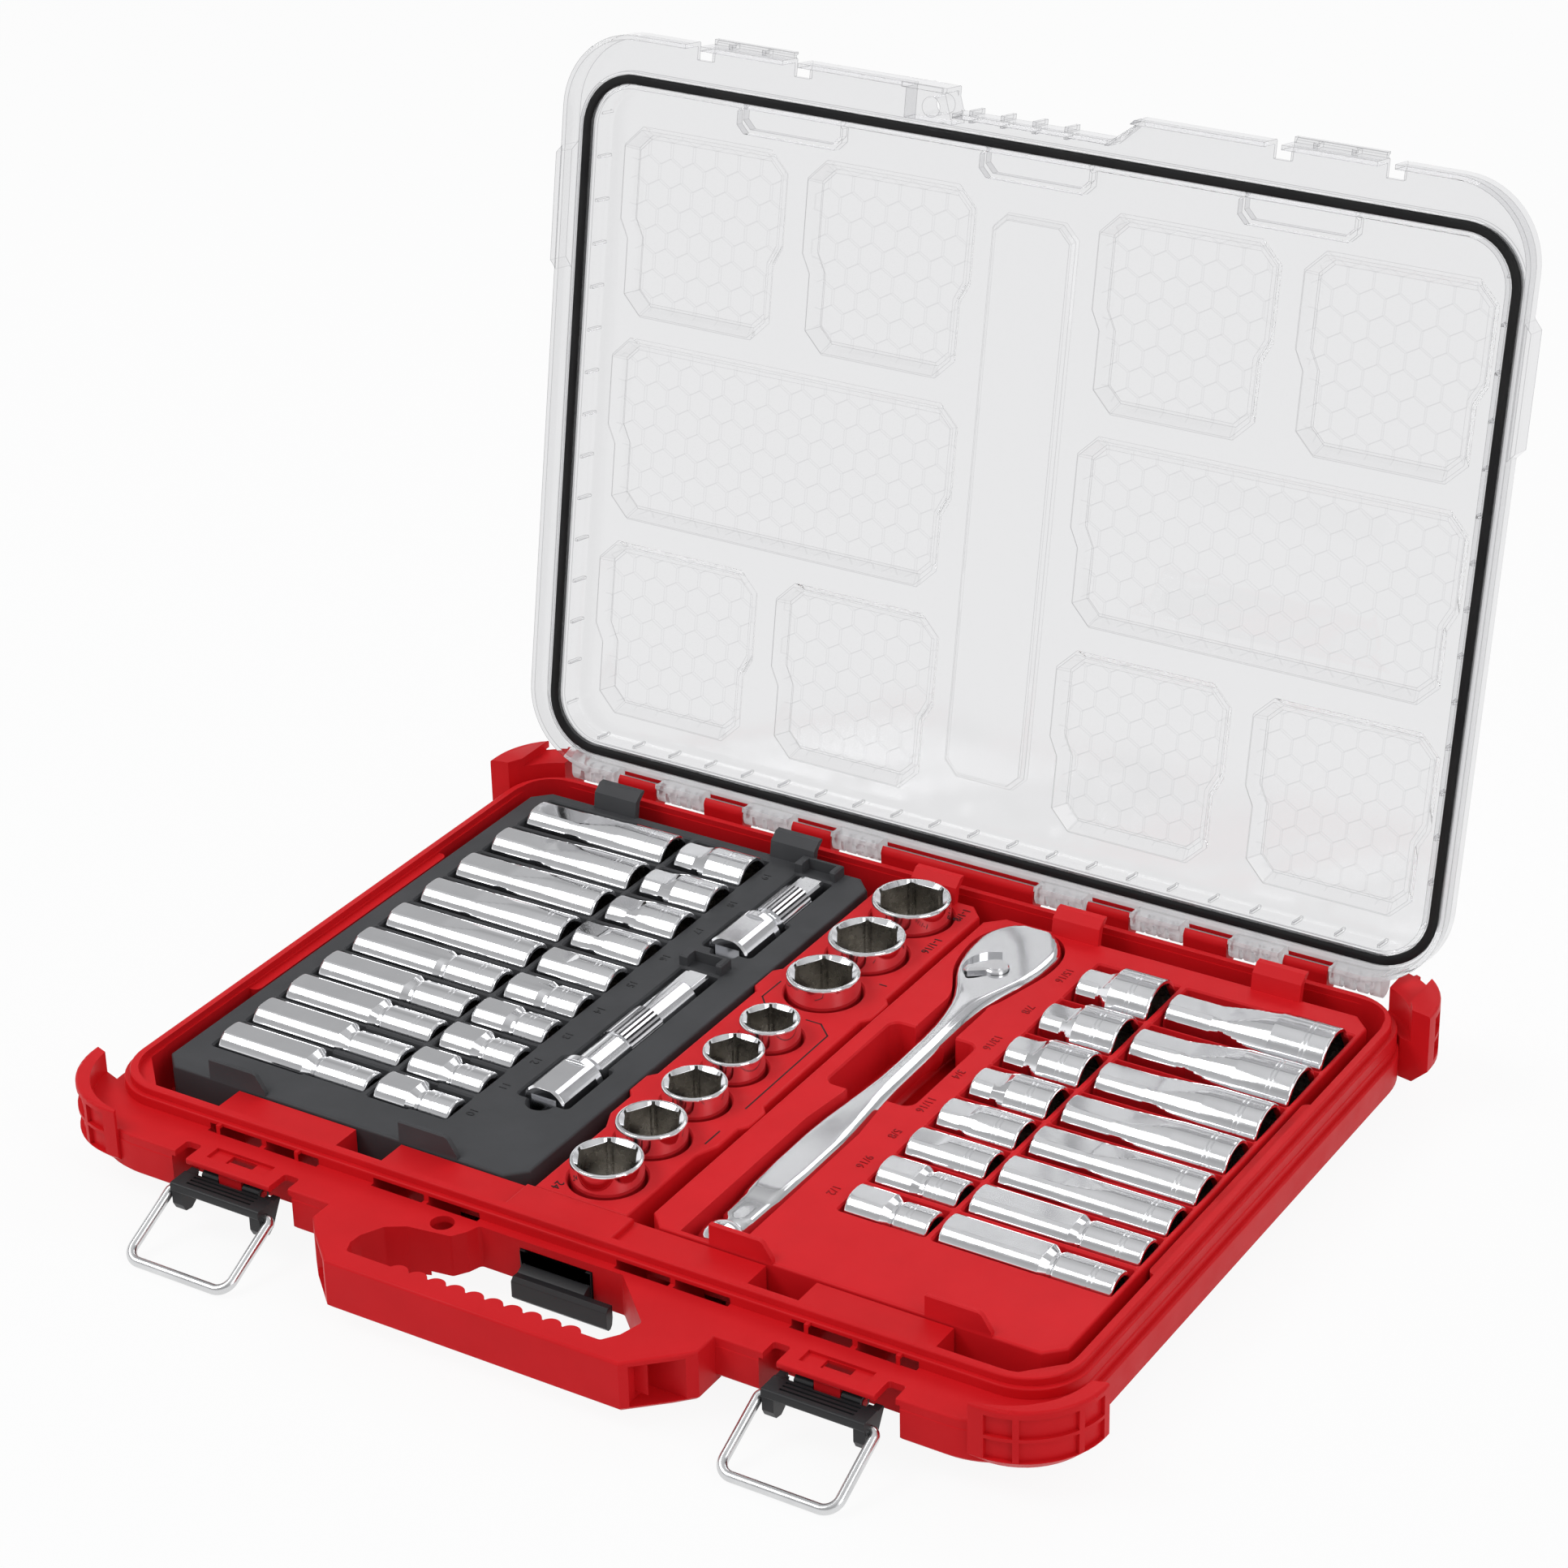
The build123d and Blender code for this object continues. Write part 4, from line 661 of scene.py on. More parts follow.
@dataclass
class Case:
    """The red base, clear lid, seal, latches and wire loops."""

    edge: float = 0.0004
    latch_edge: float = 0.0003
    hinge_top: float = 9.0

    def lid(self) -> None:
        """Build the clear lid; its hinge knuckles, low at the back, have their own finish."""
        work = merged_copy("lid", 0.0)
        top = at(0, 0, self.hinge_top).z
        for face in work.faces:
            if all(vertex.co.z < top for vertex in face.verts):
                face.material_index = 1
        place_piece(work, "lid_moulding", "lid", CLEAR, ("lid",), inner=CLEAR_HINGE)

    def build(self) -> None:
        """Build and dress the case."""
        Moulding("case_base", "case_base_moulding", "case_base", RED, self.edge).build()
        self.lid()
        Moulding("lid_gasket", "lid_seal", "lid", RUBBER, 0.0).build()
        for side in ("left", "right"):
            Moulding(f"latch_lever_{side}", f"latch_lever_{side}_moulding",
                     f"latch_lever_{side}", BLACK, self.latch_edge).build()
            Moulding(f"latch_bail_{side}", f"latch_bail_{side}_wire",
                     f"latch_bail_{side}", WIRE, 0.0).build()
        Moulding("centre_latch", "centre_latch_moulding", "centre_latch", BLACK,
                 self.latch_edge).build()


@dataclass
class SizeMark:
    """A small raised size number on a tray."""

    text: str
    x: float
    y: float
    height: float = 4.2
    turn: float = -90.0


@dataclass
class Tray:
    """A lift-out tray with its raised size numbers."""

    node: str
    finish: Finish
    marks: list[SizeMark] = field(default_factory=list)
    # the numbers' finish: print on the middle tray, painted shade on the metric and inch trays
    mark_finish: Finish | None = None
    top: float = -2.0
    edge: float = 0.0004
    relief: float = 0.18
    letter_scale: float = 1.35

    def numbers(self) -> None:
        """Build the size numbers as one raised piece."""
        if not self.marks:
            return
        work = bmesh.new()
        for mark in self.marks:
            words = bpy.data.curves.new("size_mark", "FONT")
            words.body = mark.text
            words.size = mark.height * MM * self.letter_scale
            words.extrude = self.relief * MM
            words.resolution_u = 3
            words.align_x = "CENTER"
            words.align_y = "CENTER"
            holder = bpy.data.objects.new("size_mark", words)
            bpy.context.scene.collection.objects.link(holder)
            bpy.context.view_layer.update()
            flat = bpy.data.meshes.new_from_object(holder)
            bpy.data.objects.remove(holder)
            flat.transform(Matrix.Translation(at(mark.x, mark.y, self.top))
                           @ Matrix.Rotation(math.radians(mark.turn), 4, "Z"))
            work.from_mesh(flat)
            bpy.data.meshes.remove(flat)
        bmesh.ops.remove_doubles(work, verts=work.verts, dist=SLIVER)
        place_piece(work, f"{self.node}_numbers", self.node, self.mark_finish or self.finish)

    def build(self) -> None:
        """Build and dress the tray."""
        Moulding(self.node, f"{self.node}_moulding", self.node, self.finish, self.edge).build()
        self.numbers()


METRIC_ROWS: dict[str, float] = {
    "10": -109.3, "11": -85.1, "12": -60.9, "13": -36.7, "14": -11.4,
    "15": 14.9, "16": 42.2, "17": 70.5, "18": 99.7, "19": 129.65,
}
INCH_ROWS: dict[str, float] = {
    "1/2": -84.5, "9/16": -59.5, "5/8": -34.5, "11/16": -7.9,
    "3/4": 20.45, "13/16": 50.8, "7/8": 83.15, "15/16": 117.5,
}


@dataclass
class PrintedBorder:
    """Thin printed lines round the metric group on the middle tray."""

    lines: tuple[tuple[tuple[float, float], ...], ...] = (
        ((-21.7, 50.0), (-21.9, 34.8), (-15.0, 27.0)),
        ((6.0, 27.0), (13.5, 27.0), (21.2, 19.8), (21.7, -48.8)),
        ((21.6, -69.7), (21.6, -80.8)),
    )
    width: float = 0.75
    top: float = -2.0
    thickness: float = 0.06
    rounding: float = 0.02

    def build(self) -> None:
        """Build the lines as one thin piece."""
        work = bmesh.new()
        for line in self.lines:
            for start, end in zip(line, line[1:]):
                first, last = at(*start, self.top), at(*end, self.top)
                run = last - first
                strip = bmesh.new()
                bmesh.ops.create_cube(strip, size=1.0)
                bmesh.ops.scale(strip, verts=strip.verts, vec=(
                    run.length + self.width * MM, self.width * MM, self.thickness * 2 * MM))
                bmesh.ops.bevel(strip, geom=list(strip.edges), offset=self.rounding * MM, segments=1,
                                affect="EDGES", profile=0.5, material=-1, offset_type="OFFSET")
                bmesh.ops.transform(strip, verts=strip.verts, matrix=(
                    Matrix.Translation((first + last) / 2)
                    @ Matrix.Rotation(math.atan2(run.y, run.x), 4, "Z")))
                join_into(work, strip)
        place_piece(work, "middle_tray_printed_border", "middle_tray", INK)


class Zone(Enum):
    """The parts of a socket's surface that are shaped differently."""

    OUTSIDE = 0
    HEXAGON = 1
    BORE = 2
    SQUARE = 3


@dataclass
class Socket:
    """A chrome socket: flats on its drive end, fine grooves and a hexagon at its mouth."""

    node: str
    steps: int = 96
    drive_radius: float = 11.2
    flat: float = 10.0
    half_square: float = 6.425
    edge: float = 0.0001
    upright_edge: float = 0.0002
    groove_insets: tuple[float, ...] = (9.4, 11.4)
    groove_depth: float = 0.26
    groove_floor: float = 0.32
    groove_mouth: float = 0.64
    hexagon_turn: float = 0.0
    upright_turn: float = 30.0
    hexagon_depth: float = 24.0
    hexagon_play: float = 0.2
    corner_relief: float = 0.22
    deep_from: float = 60.0

    def across_flats(self) -> float:
        """The hexagon's size in millimetres, read from the node's name."""
        size = self.node.split("_", 2)[2]
        if size.endswith("mm"):
            return float(size[:-2])
        parts = [int(part) for part in size[:-2].split("_")]
        whole = parts.pop(0) if len(parts) != 2 else 0
        return 25.4 * (whole + (parts[0] / parts[1] if parts else 0))

    def mouth_radius(self, axis: int, low: Vector, high: Vector) -> float:
        """The outside radius at the mouth end, read from the solid's own vertices.

        Args:
            axis: the index of the long axis.
            low: the box's lowest corner.
            high: its highest corner.

        Returns:
            The radius in millimetres.
        """
        middle = (low + high) / 2
        middle[axis] = 0.0
        reach = 0.0
        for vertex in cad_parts[self.node].data.vertices:
            if vertex.co[axis] > high[axis] - 3.0 * MM:
                across = vertex.co.copy()
                across[axis] = 0.0
                reach = max(reach, (across - middle).length)
        return reach / MM

    def outside(self, length: float, mouth: float) -> list[tuple[float, float]]:
        """The outside profile from the drive end to the mouth.

        Args:
            length: the socket's length in millimetres.
            mouth: its radius at the mouth in millimetres.

        Returns:
            Radius and height of each point.
        """
        drive, deep = self.drive_radius, length > self.deep_from
        points = [(drive - 1.0, 0.0), (drive - 0.45, 0.25), (drive - 0.12, 0.7), (drive, 1.3)]
        if mouth <= drive:
            reach = 47.0 if deep else 18.0
            points += [(drive, reach - 1), (mouth - 0.9, reach + 2.2), (mouth - 0.9, reach + 3.6),
                       (mouth - 0.25, reach + 4.5), (mouth, reach + 5.2)]
        else:
            start, end = (22.4, 52.0) if deep else (10.4, 18.0)
            count = 20 if deep else 8
            points += [(drive + (mouth - drive) * n / count, start + (end - start) * n / count)
                       for n in range(count + 1)]
        for inset in sorted(self.groove_insets, reverse=True):
            middle = length - inset
            wide, narrow, floor = self.groove_mouth / 2, self.groove_floor / 2, mouth - self.groove_depth
            points += [(mouth, middle - wide), (floor, middle - narrow),
                       (floor, middle + narrow), (mouth, middle + wide)]
        return points + [(mouth, length - 1.2), (mouth - 0.12, length - 0.65),
                         (mouth - 0.45, length - 0.2), (mouth - 1.0, length)]

    def flat_limit(self, height: float, length: float, mouth: float) -> float:
        """How far out the flats let the surface reach at a height.

        Args:
            height: the height over the drive end in millimetres.
            length: the socket's length.
            mouth: its radius at the mouth.

        Returns:
            The limit in millimetres.
        """
        deep = length > self.deep_from
        if mouth <= self.drive_radius:
            reach = 47.0 if deep else 18.0
            return self.flat if height < reach + 3.4 else mouth + 1
        start, end = (28.0, 52.0) if deep else (13.0, 18.0)
        if height <= start:
            return self.flat
        return self.flat + (mouth + 0.3 - self.flat) * (height - start) / (end - start)

    def shape(self, length: float, mouth: float) -> bmesh.types.BMesh:
        """Spin the profile, then set its flats, hexagon and square.

        Args:
            length: the socket's length in millimetres.
            mouth: its radius at the mouth in millimetres.

        Returns:
            The socket standing on its drive end at the origin, in metres.
        """
        size = self.across_flats() + self.hexagon_play
        drive_depth = min(15.0, length * 0.4)
        hex_floor = length - min(self.hexagon_depth, length - drive_depth - 4)
        bore = min(12.7, size - 0.2) / 2 - 0.4
        lead = min(size / math.sqrt(3) + 0.25, mouth - 0.7)
        rows = [(r, z, Zone.OUTSIDE) for r, z in self.outside(length, mouth)]
        rows += [(lead + 0.1, length, Zone.OUTSIDE), (size / 2, length - 1.5, Zone.HEXAGON)]
        rows += [(size / 2, hex_floor, Zone.HEXAGON), (bore, hex_floor, Zone.BORE),
                 (bore, drive_depth, Zone.BORE),
                 (self.half_square, drive_depth - 0.2, Zone.SQUARE),
                 (self.half_square, 0.5, Zone.SQUARE), (self.half_square + 0.5, 0.0, Zone.SQUARE)]
        work = bmesh.new()
        zone = work.verts.layers.int.new("zone")
        chain = []
        for radius, height, kind in rows:
            vertex = work.verts.new((radius, 0, height))
            vertex[zone] = kind.value
            chain.append(vertex)
        edges = [work.edges.new(pair) for pair in zip(chain, chain[1:] + chain[:1])]
        bmesh.ops.spin(work, geom=chain + edges, cent=(0, 0, 0), axis=(0, 0, 1),
                       angle=math.tau, steps=self.steps, use_merge=True, use_duplicate=False)
        for vertex in work.verts:
            self.set_vertex(vertex, Zone(vertex[zone]), length, mouth)
        # faces inside the hexagon, bore and square take the darker bore metal, painted shade of the
        # recess
        for face in work.faces:
            if all(vertex[zone] for vertex in face.verts):
                face.material_index = 1
        work.verts.layers.int.remove(zone)
        bmesh.ops.scale(work, verts=work.verts, vec=(MM, MM, MM))
        bmesh.ops.recalc_face_normals(work, faces=work.faces)
        return work

    def set_vertex(self, vertex: bmesh.types.BMVert, zone: Zone, length: float,
                   mouth: float) -> None:
        """Move one vertex of the spun shape to its flat, hexagon or square.

        Args:
            vertex: the vertex, in millimetres.
            zone: the part of the surface that it is on.
            length: the socket's length.
            mouth: its radius at the mouth.
        """
        x, y, height = vertex.co
        if zone is Zone.OUTSIDE:
            limit = self.flat_limit(height, length, mouth)
            vertex.co.x = max(-limit, min(limit, x))
            vertex.co.y = max(-limit, min(limit, y))
            return
        radius, angle = math.hypot(x, y), math.atan2(y, x)
        if zone is Zone.HEXAGON:
            turned = angle + math.radians(30 - self.hexagon_turn)
            off = turned % (math.pi / 3) - math.pi / 6
            grown = radius / math.cos(off)
            if abs(off) > math.radians(25):
                grown += self.corner_relief
        elif zone is Zone.SQUARE:
            grown = radius / max(abs(math.cos(angle)), abs(math.sin(angle)))
        else:
            grown = radius
        vertex.co.x, vertex.co.y = grown * math.cos(angle), grown * math.sin(angle)

    def build(self) -> None:
        """Build and dress the socket."""
        low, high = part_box(self.node)
        size = high - low
        axis = max(range(3), key=lambda i: size[i])
        if axis == 2:
            self.groove_insets, self.hexagon_turn = (), self.upright_turn
            self.edge = self.upright_edge
        work = self.shape(size[axis] / MM, self.mouth_radius(axis, low, high))
        middle = (low + high) / 2
        middle[axis] = low[axis]
        turn = Matrix.Rotation(math.radians(90), 4, "Y") if axis == 0 else Matrix.Identity(4)
        bmesh.ops.transform(work, verts=work.verts, matrix=Matrix.Translation(middle) @ turn)
        place_piece(work, f"{self.node}_chrome", self.node, CHROME, (self.node,),
                    9.0, self.edge, inner=BORE)


@dataclass
class SocketSet:
    """All the sockets, lying and upright."""

    def build(self) -> None:
        """Build and dress every socket."""
        for node in sorted(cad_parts):
            if node.startswith("socket_"):
                Socket(node).build()


@dataclass(frozen=True)
class Section:
    """One cross-section of the ratchet's body, in millimetres."""

    y: float
    left: float
    right: float
    half_height: float
    squareness: float = 2.3
    flat: float = 11.75


@dataclass
class Ratchet:
    """The ratchet's polished body, its selector and its square drive."""

    edge: float = 0.0003
    points: int = 56
    head_x: float = 58.0
    head_y: float = 126.0
    head_radius: float = 20.6
    axis_x: float = 61.0
    axis_z: float = -11.25
    cap_radius: float = 10.5
    selector_x: float = 59.5
    selector_y: float = 103.8
    recess_radius: float = 15.5
    recess_floor: float = -1.5
    recess_height: float = 6.0
    hub_radius: float = 6.3
    smooth: float = 22.0

    def sections(self) -> list[Section]:
        """The body's cross-sections from the head's far end to the end cap.

        Returns:
            The sections in order.
        """
        rows = []
        for degrees in (3, 8, 15, 24, 34, 45, 57, 70, 80):
            angle = math.radians(degrees)
            half = self.head_radius * math.sin(angle)
            rows.append(Section(self.head_y + self.head_radius * math.cos(angle),
                                self.head_x - half, self.head_x + half,
                                10.2 + 2.2 * min(1.0, degrees / 30), 7.0))
        rows += [Section(y, left, right, 12.4, 7.0) for y, left, right in (
            (126.0, 37.4, 78.6), (119.0, 37.6, 78.5), (112.0, 38.4, 78.1), (105.0, 40.0, 77.0),
            (98.0, 42.2, 75.4))]
        rows += [Section(*row) for row in (
            (91.0, 45.2, 73.5, 12.3, 6.0), (84.0, 48.8, 71.6, 12.1, 5.0),
            (77.0, 51.6, 70.1, 11.6, 4.0), (70.0, 53.0, 69.1, 10.9, 3.2),
            (62.0, 53.7, 68.3, 10.0, 2.7), (52.0, 54.0, 68.0, 9.2), (40.0, 54.1, 67.9, 8.6),
            (20.0, 54.2, 67.8, 8.3, 2.3, 8.6), (2.0, 53.8, 68.2, 8.4, 2.3, 8.5),
            (-10.0, 52.9, 69.1, 8.7, 2.3, 8.4), (-22.0, 51.7, 70.3, 9.1, 2.3, 8.3),
            (-36.0, 50.5, 71.5, 9.6, 2.3, 8.2), (-52.0, 49.8, 72.2, 9.9, 2.3, 8.1),
            (-76.0, 49.8, 72.2, 9.8, 2.3, 8.1), (-92.0, 50.3, 71.7, 9.4, 2.3, 8.1),
            (-99.0, 50.8, 71.2, 8.9, 2.3, 8.0), (-101.5, 51.9, 70.1, 8.0, 2.6, 7.3),
            (-104.0, 52.1, 69.9, 7.9, 2.8, 6.9), (-116.5, 52.6, 69.4, 7.9, 2.8, 6.9),
            (-118.6, 53.6, 68.4, 7.2, 2.2, 7.2), (-120.4, 53.6, 68.4, 7.2, 2.0, 7.2),
        )]
        middle, half_length = (-121.2 - 139.2) / 2, (139.2 - 121.2) / 2
        for degrees in (64, 44, 28, 12, -8, -26, -44, -60, -74, -84):
            angle = math.radians(degrees)
            reach = self.cap_radius * min(1.0, math.cos(angle) ** 0.55 * 1.02)
            rows.append(Section(middle + half_length * math.sin(angle), self.axis_x - reach,
                                self.axis_x + reach, reach, 2.0, 20.0))
        return rows

    def ring(self, work: bmesh.types.BMesh, section: Section) -> list[bmesh.types.BMEdge]:
        """Add one cross-section's closed ring.

        Args:
            work: the bmesh being built.
            section: the cross-section.

        Returns:
            The ring's edges.
        """
        made = bmesh.ops.create_circle(work, cap_ends=False, segments=self.points, radius=1.0)
        half_width = (section.right - section.left) / 2
        middle = (section.right + section.left) / 2
        power = 2.0 / section.squareness
        for vertex in made["verts"]:
            across, up = vertex.co.x, vertex.co.y
            across = math.copysign(abs(across) ** power, across) * half_width
            up = math.copysign(abs(up) ** power, up) * section.half_height
            up = max(-section.flat, min(section.flat, up))
            vertex.co = at(middle + across, section.y, self.axis_z + up)
        return list({edge for vertex in made["verts"] for edge in vertex.link_edges})

    def body(self) -> bmesh.types.BMesh:
        """Loft the body through its cross-sections and close its ends.

        Returns:
            The body.
        """
        work = bmesh.new()
        rings = [self.ring(work, section) for section in self.sections()]
        for first, second in zip(rings, rings[1:]):
            bmesh.ops.bridge_loops(work, edges=first + second)
        for ring in (rings[0], rings[-1]):
            bmesh.ops.contextual_create(work, geom=ring)
        bmesh.ops.recalc_face_normals(work, faces=work.faces)
        return work

    def recess(self) -> bmesh.types.BMesh:
        """The room that the selector swings in, as a cutter.

        Returns:
            The cutter.
        """
        work = bmesh.new()
        arcs = ((self.hub_radius, range(-90, 96, 12)), (self.recess_radius, range(108, 252, 8)))
        outline = [(self.selector_x + radius * math.cos(math.radians(degrees)),
                    self.selector_y + radius * math.sin(math.radians(degrees)))
                   for radius, turns in arcs for degrees in turns]
        floor = [work.verts.new(at(x, y, self.recess_floor)) for x, y in outline]
        face = work.faces.new(floor)
        grown = bmesh.ops.extrude_face_region(work, geom=[face])
        top = [item for item in grown["geom"] if isinstance(item, bmesh.types.BMVert)]
        bmesh.ops.translate(work, verts=top, vec=(0, 0, self.recess_height * MM))
        bmesh.ops.recalc_face_normals(work, faces=work.faces)
        return work

    def build(self) -> None:
        """Build and dress the ratchet."""
        place_piece(cut_away(self.body(), self.recess()), "ratchet_body_chrome", "ratchet_body",
                    CHROME, ("ratchet_body",), self.smooth)
        Moulding("ratchet_selector", "ratchet_selector_chrome", "ratchet_selector", SATIN,
                 self.edge).build()
        Moulding("ratchet_anvil", "ratchet_anvil_chrome", "ratchet_anvil", SATIN,
                 self.edge).build()


@dataclass
class ExtensionBar:
    """An extension bar and the grooved band on its shaft."""

    node: str
    band_start: float
    band_end: float
    x: float = -57.8
    z: float = -7.0
    root: float = 9.15
    crest: float = 9.7
    grooves: int = 28
    points_per_groove: int = 4
    edge: float = 0.00025
    smooth: float = 20.0
    band_smooth: float = 15.0

    def band(self) -> bmesh.types.BMesh:
        """The grooved band, as a sleeve round the shaft, with painted shade in its grooves.

        Returns:
            The sleeve.
        """
        work = bmesh.new()
        count = self.grooves * self.points_per_groove
        bmesh.ops.create_circle(work, cap_ends=True, segments=count, radius=self.root * MM)
        for vertex in work.verts:
            angle = math.atan2(vertex.co.y, vertex.co.x) * count / (2 * math.pi)
            if round(angle) % self.points_per_groove:
                vertex.co *= self.crest / self.root
        grown = bmesh.ops.extrude_face_region(work, geom=list(work.faces))
        top = [item for item in grown["geom"] if isinstance(item, bmesh.types.BMVert)]
        length = (self.band_end - self.band_start) * MM
        bmesh.ops.translate(work, verts=top, vec=(0, 0, length))
        bmesh.ops.recalc_face_normals(work, faces=work.faces)
        middle = (self.root + self.crest) / 2 * MM
        # faces down in the grooves get the painted groove shade
        for face in work.faces:
            if len(face.verts) == 4 and any(v.co.xy.length < middle for v in face.verts):
                face.material_index = 1
        bmesh.ops.transform(work, verts=work.verts, matrix=(
            Matrix.Translation(at(self.x, self.band_start, self.z))
            @ Matrix.Rotation(math.radians(-90), 4, "X")))
        return work

    def build(self) -> None:
        """Build and dress the bar."""
        Moulding(self.node, f"{self.node}_chrome", self.node, CHROME, self.edge,
                 self.smooth).build()
        place_piece(self.band(), f"{self.node}_grooved_band", self.node, CHROME,
                    smooth=self.band_smooth, inner=GROOVE_PAINTED_SHADE)


# ---------------------------------------------------------------- studio
@dataclass
class Studio:
    """Floor, soft lamps, pale surroundings and the camera."""

    eye: Point = (0.83949, -1.30805, 0.98080)
    aim: Point = (62.348, 1.232, 31.602)
    lens: float = 94.764
    lamp_target: Point = (0.0, 0.0, 0.1)
    floor_radius: float = 14.0
    floor_drop: float = 0.0002
    floor_lift: float = 0.92

    def floor(self) -> None:
        """Lay the pale floor."""
        desk = NodeDesk("pale_floor")
        paint = desk.add("ShaderNodeBsdfDiffuse")
        tone = desk.noise(0.4, 2.0)
        desk.join(desk.blend(tone, (0.80, 0.80, 0.80), (0.82, 0.82, 0.82)),
                  paint.inputs["Color"])
        glow = desk.add("ShaderNodeEmission")
        glow.inputs["Strength"].default_value = 1.0
        seen = self.seen_rays(desk)
        lift = desk.add("ShaderNodeMath", operation="MULTIPLY")
        lift.inputs[1].default_value = self.floor_lift
        desk.join(seen, lift.inputs[0])
        material = desk.show(desk.switch(lift.outputs[0], paint.outputs["BSDF"],
                                         glow.outputs["Emission"]))
        work = bmesh.new()
        bmesh.ops.create_circle(work, cap_ends=True, segments=96,
                                radius=self.floor_radius)
        bmesh.ops.translate(work, verts=work.verts, vec=(0, 0, -self.floor_drop))
        mesh = bpy.data.meshes.new("floor")
        work.to_mesh(mesh)
        work.free()
        mesh.materials.append(material)
        plane = bpy.data.objects.new("floor", mesh)
        bpy.context.scene.collection.objects.link(plane)

    @staticmethod
    def seen_rays(desk: NodeDesk) -> bpy.types.NodeSocket:
        """1 for camera, glossy and transmission rays.

        Args:
            desk: the material being made.

        Returns:
            The factor.
        """
        rays = desk.add("ShaderNodeLightPath")
        direct = desk.sum(rays.outputs["Is Camera Ray"], rays.outputs["Is Glossy Ray"], "MAXIMUM")
        return desk.sum(direct, rays.outputs["Is Transmission Ray"], "MAXIMUM")

    def world(self) -> None:
        """Surround the set with white walls under a darker ceiling."""
        world = bpy.data.worlds.new("studio")
        bpy.context.scene.world = world
        world.use_nodes = True
        tree = world.node_tree
        tree.nodes.clear()
        output = tree.nodes.new("ShaderNodeOutputWorld")
        coords = tree.nodes.new("ShaderNodeTexCoord")
        split = tree.nodes.new("ShaderNodeSeparateXYZ")
        ramp = tree.nodes.new("ShaderNodeValToRGB")
        ramp.color_ramp.interpolation = "EASE"
        stops = [(0.0, 1.0), (0.20, 1.0), (0.36, 0.52), (0.62, 0.42), (0.80, 0.55), (1.0, 0.75)]
        for index, (place, level) in enumerate(stops):
            stop = (ramp.color_ramp.elements[index] if index < 2
                    else ramp.color_ramp.elements.new(place))
            stop.position = place
            stop.color = (level, level, level * 1.01, 1.0)
        seen = tree.nodes.new("ShaderNodeBackground")
        lit = tree.nodes.new("ShaderNodeBackground")
        lit.inputs["Color"].default_value = (0.50, 0.505, 0.515, 1.0)
        rays = tree.nodes.new("ShaderNodeLightPath")
        mix = tree.nodes.new("ShaderNodeMixShader")
        for source, target in (
                (coords.outputs["Generated"], split.inputs[0]),
                (split.outputs["Z"], ramp.inputs[0]),
                (ramp.outputs["Color"], seen.inputs["Color"]),
                (rays.outputs["Is Diffuse Ray"], mix.inputs[0]),
                (seen.outputs["Background"], mix.inputs[1]),
                (lit.outputs["Background"], mix.inputs[2]),
                (mix.outputs["Shader"], output.inputs["Surface"])):
            tree.links.new(source, target)

    def lamp(self, name: str, place: Point, size: tuple[float, float], power: float) -> None:
        """Hang a soft lamp that faces the set.

        Args:
            name: the lamp's name.
            place: where it hangs, in metres.
            size: its width and height in metres.
            power: its power in watts.
        """
        data = bpy.data.lights.new(name, "AREA")
        data.shape = "RECTANGLE"
        data.size, data.size_y = size
        data.energy = power
        lamp = bpy.data.objects.new(name, data)
        lamp.location = place
        lamp.rotation_mode = "QUATERNION"
        facing = Vector(self.lamp_target) - Vector(place)
        lamp.rotation_quaternion = facing.to_track_quat("-Z", "Y")
        bpy.context.scene.collection.objects.link(lamp)

    def camera(self) -> None:
        """Set up the camera."""
        data = bpy.data.cameras.new("camera")
        data.lens = self.lens
        data.sensor_width = 36.0
        data.clip_start, data.clip_end = 0.05, 60.0
        camera = bpy.data.objects.new("camera", data)
        camera.location = self.eye
        camera.rotation_euler = [math.radians(a) for a in self.aim]
        bpy.context.scene.collection.objects.link(camera)
        bpy.context.scene.camera = camera

    def build(self) -> None:
        """Set the stage."""
        bpy.context.scene.view_settings.view_transform = "Standard"
        self.world()
        self.floor()
        self.lamp("key_lamp", (-1.6, -1.2, 2.4), (1.6, 1.2), 30.0)
        self.lamp("fill_lamp", (2.2, -0.6, 1.7), (1.2, 1.6), 14.0)
        self.lamp("back_lamp", (0.2, 2.4, 2.2), (2.2, 0.8), 12.0)
        self.camera()


METRIC_MARKS_X, INCH_MARKS_X = -79.0, 87.0
UPRIGHT_ROWS: dict[str, tuple[float, float]] = {
    "24": (-15.0, -138.0), "1": (20.1, 69.8), "1-1/16": (21.5, 111.5), "1-1/8": (19.5, 143.0),
}


def tray_marks() -> tuple[list[SizeMark], list[SizeMark], list[SizeMark]]:
    """The size numbers of the trays.

    Returns:
        The metric tray's marks, the inch tray's and the middle tray's.
    """
    upright = [SizeMark(text, x, y) for text, (x, y) in UPRIGHT_ROWS.items()]
    metric = [SizeMark(text, METRIC_MARKS_X, y) for text, y in METRIC_ROWS.items()]
    inch = [SizeMark(text, INCH_MARKS_X, y) for text, y in INCH_ROWS.items()]
    return metric, inch, upright


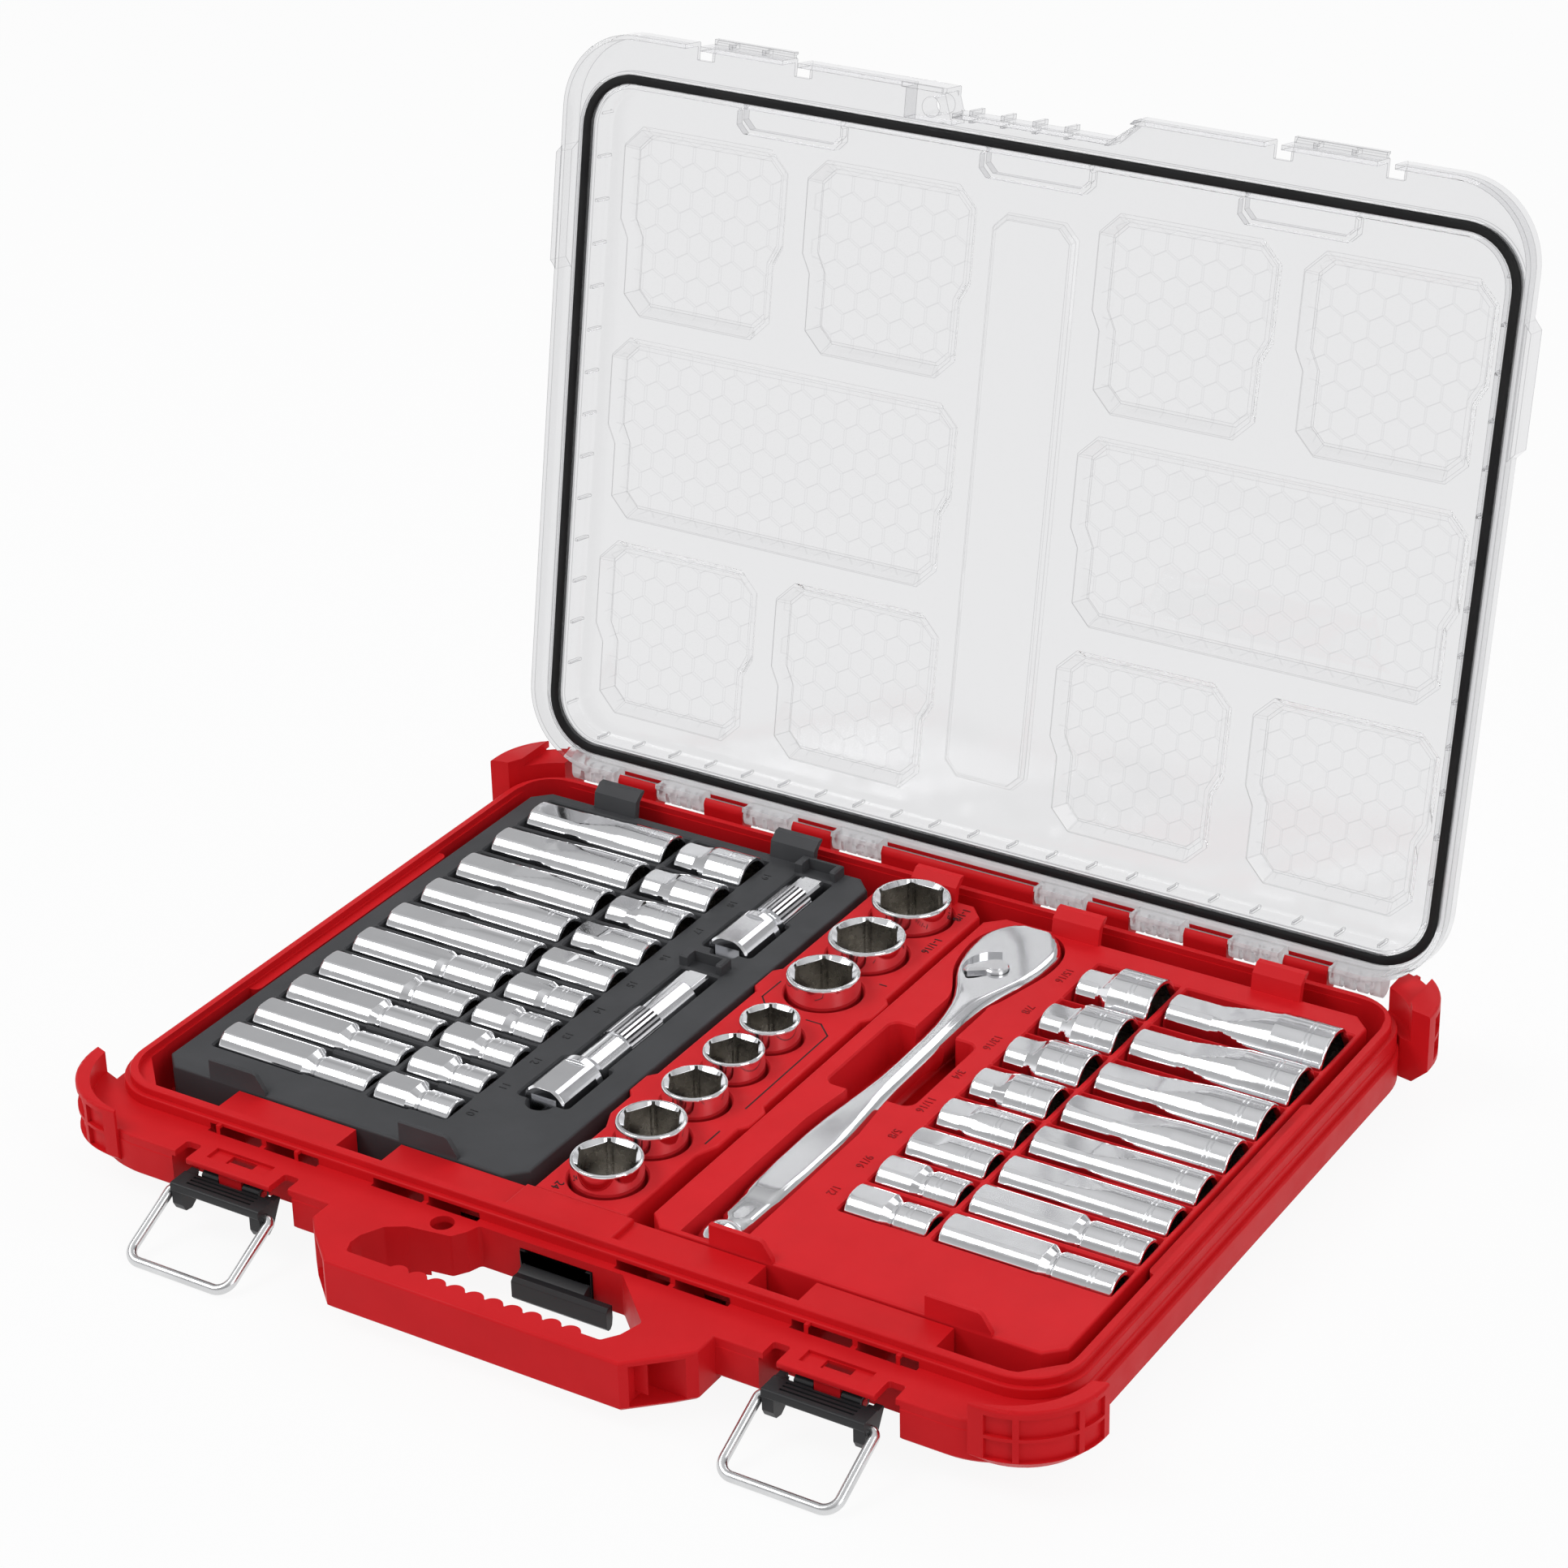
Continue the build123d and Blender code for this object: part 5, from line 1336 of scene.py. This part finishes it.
def main() -> None:
    """Build the set, piece by piece."""
    logging.basicConfig(level=logging.INFO, format="%(message)s")
    metric, inch, upright = tray_marks()
    studio = Studio()
    studio.build()
    Case().build()
    # painted shade: the metric tray's raised numbers are moulded in its own grey; the black finish on
    # them stands in for their shading
    Tray("metric_tray", GREY, metric, BLACK).build()
    Tray("middle_tray", TRAY_RED, upright, INK).build()
    PrintedBorder().build()
    # the inch tray's numbers are darkened as painted shade
    Tray("sae_tray", TRAY_RED, inch, RED_NUMBERS_PAINTED_SHADE).build()
    SocketSet().build()
    Ratchet().build()
    ExtensionBar("extension_long", -30.0, -5.0).build()
    ExtensionBar("extension_short", 97.0, 122.0).build()


if __name__ == "__main__":
    main()
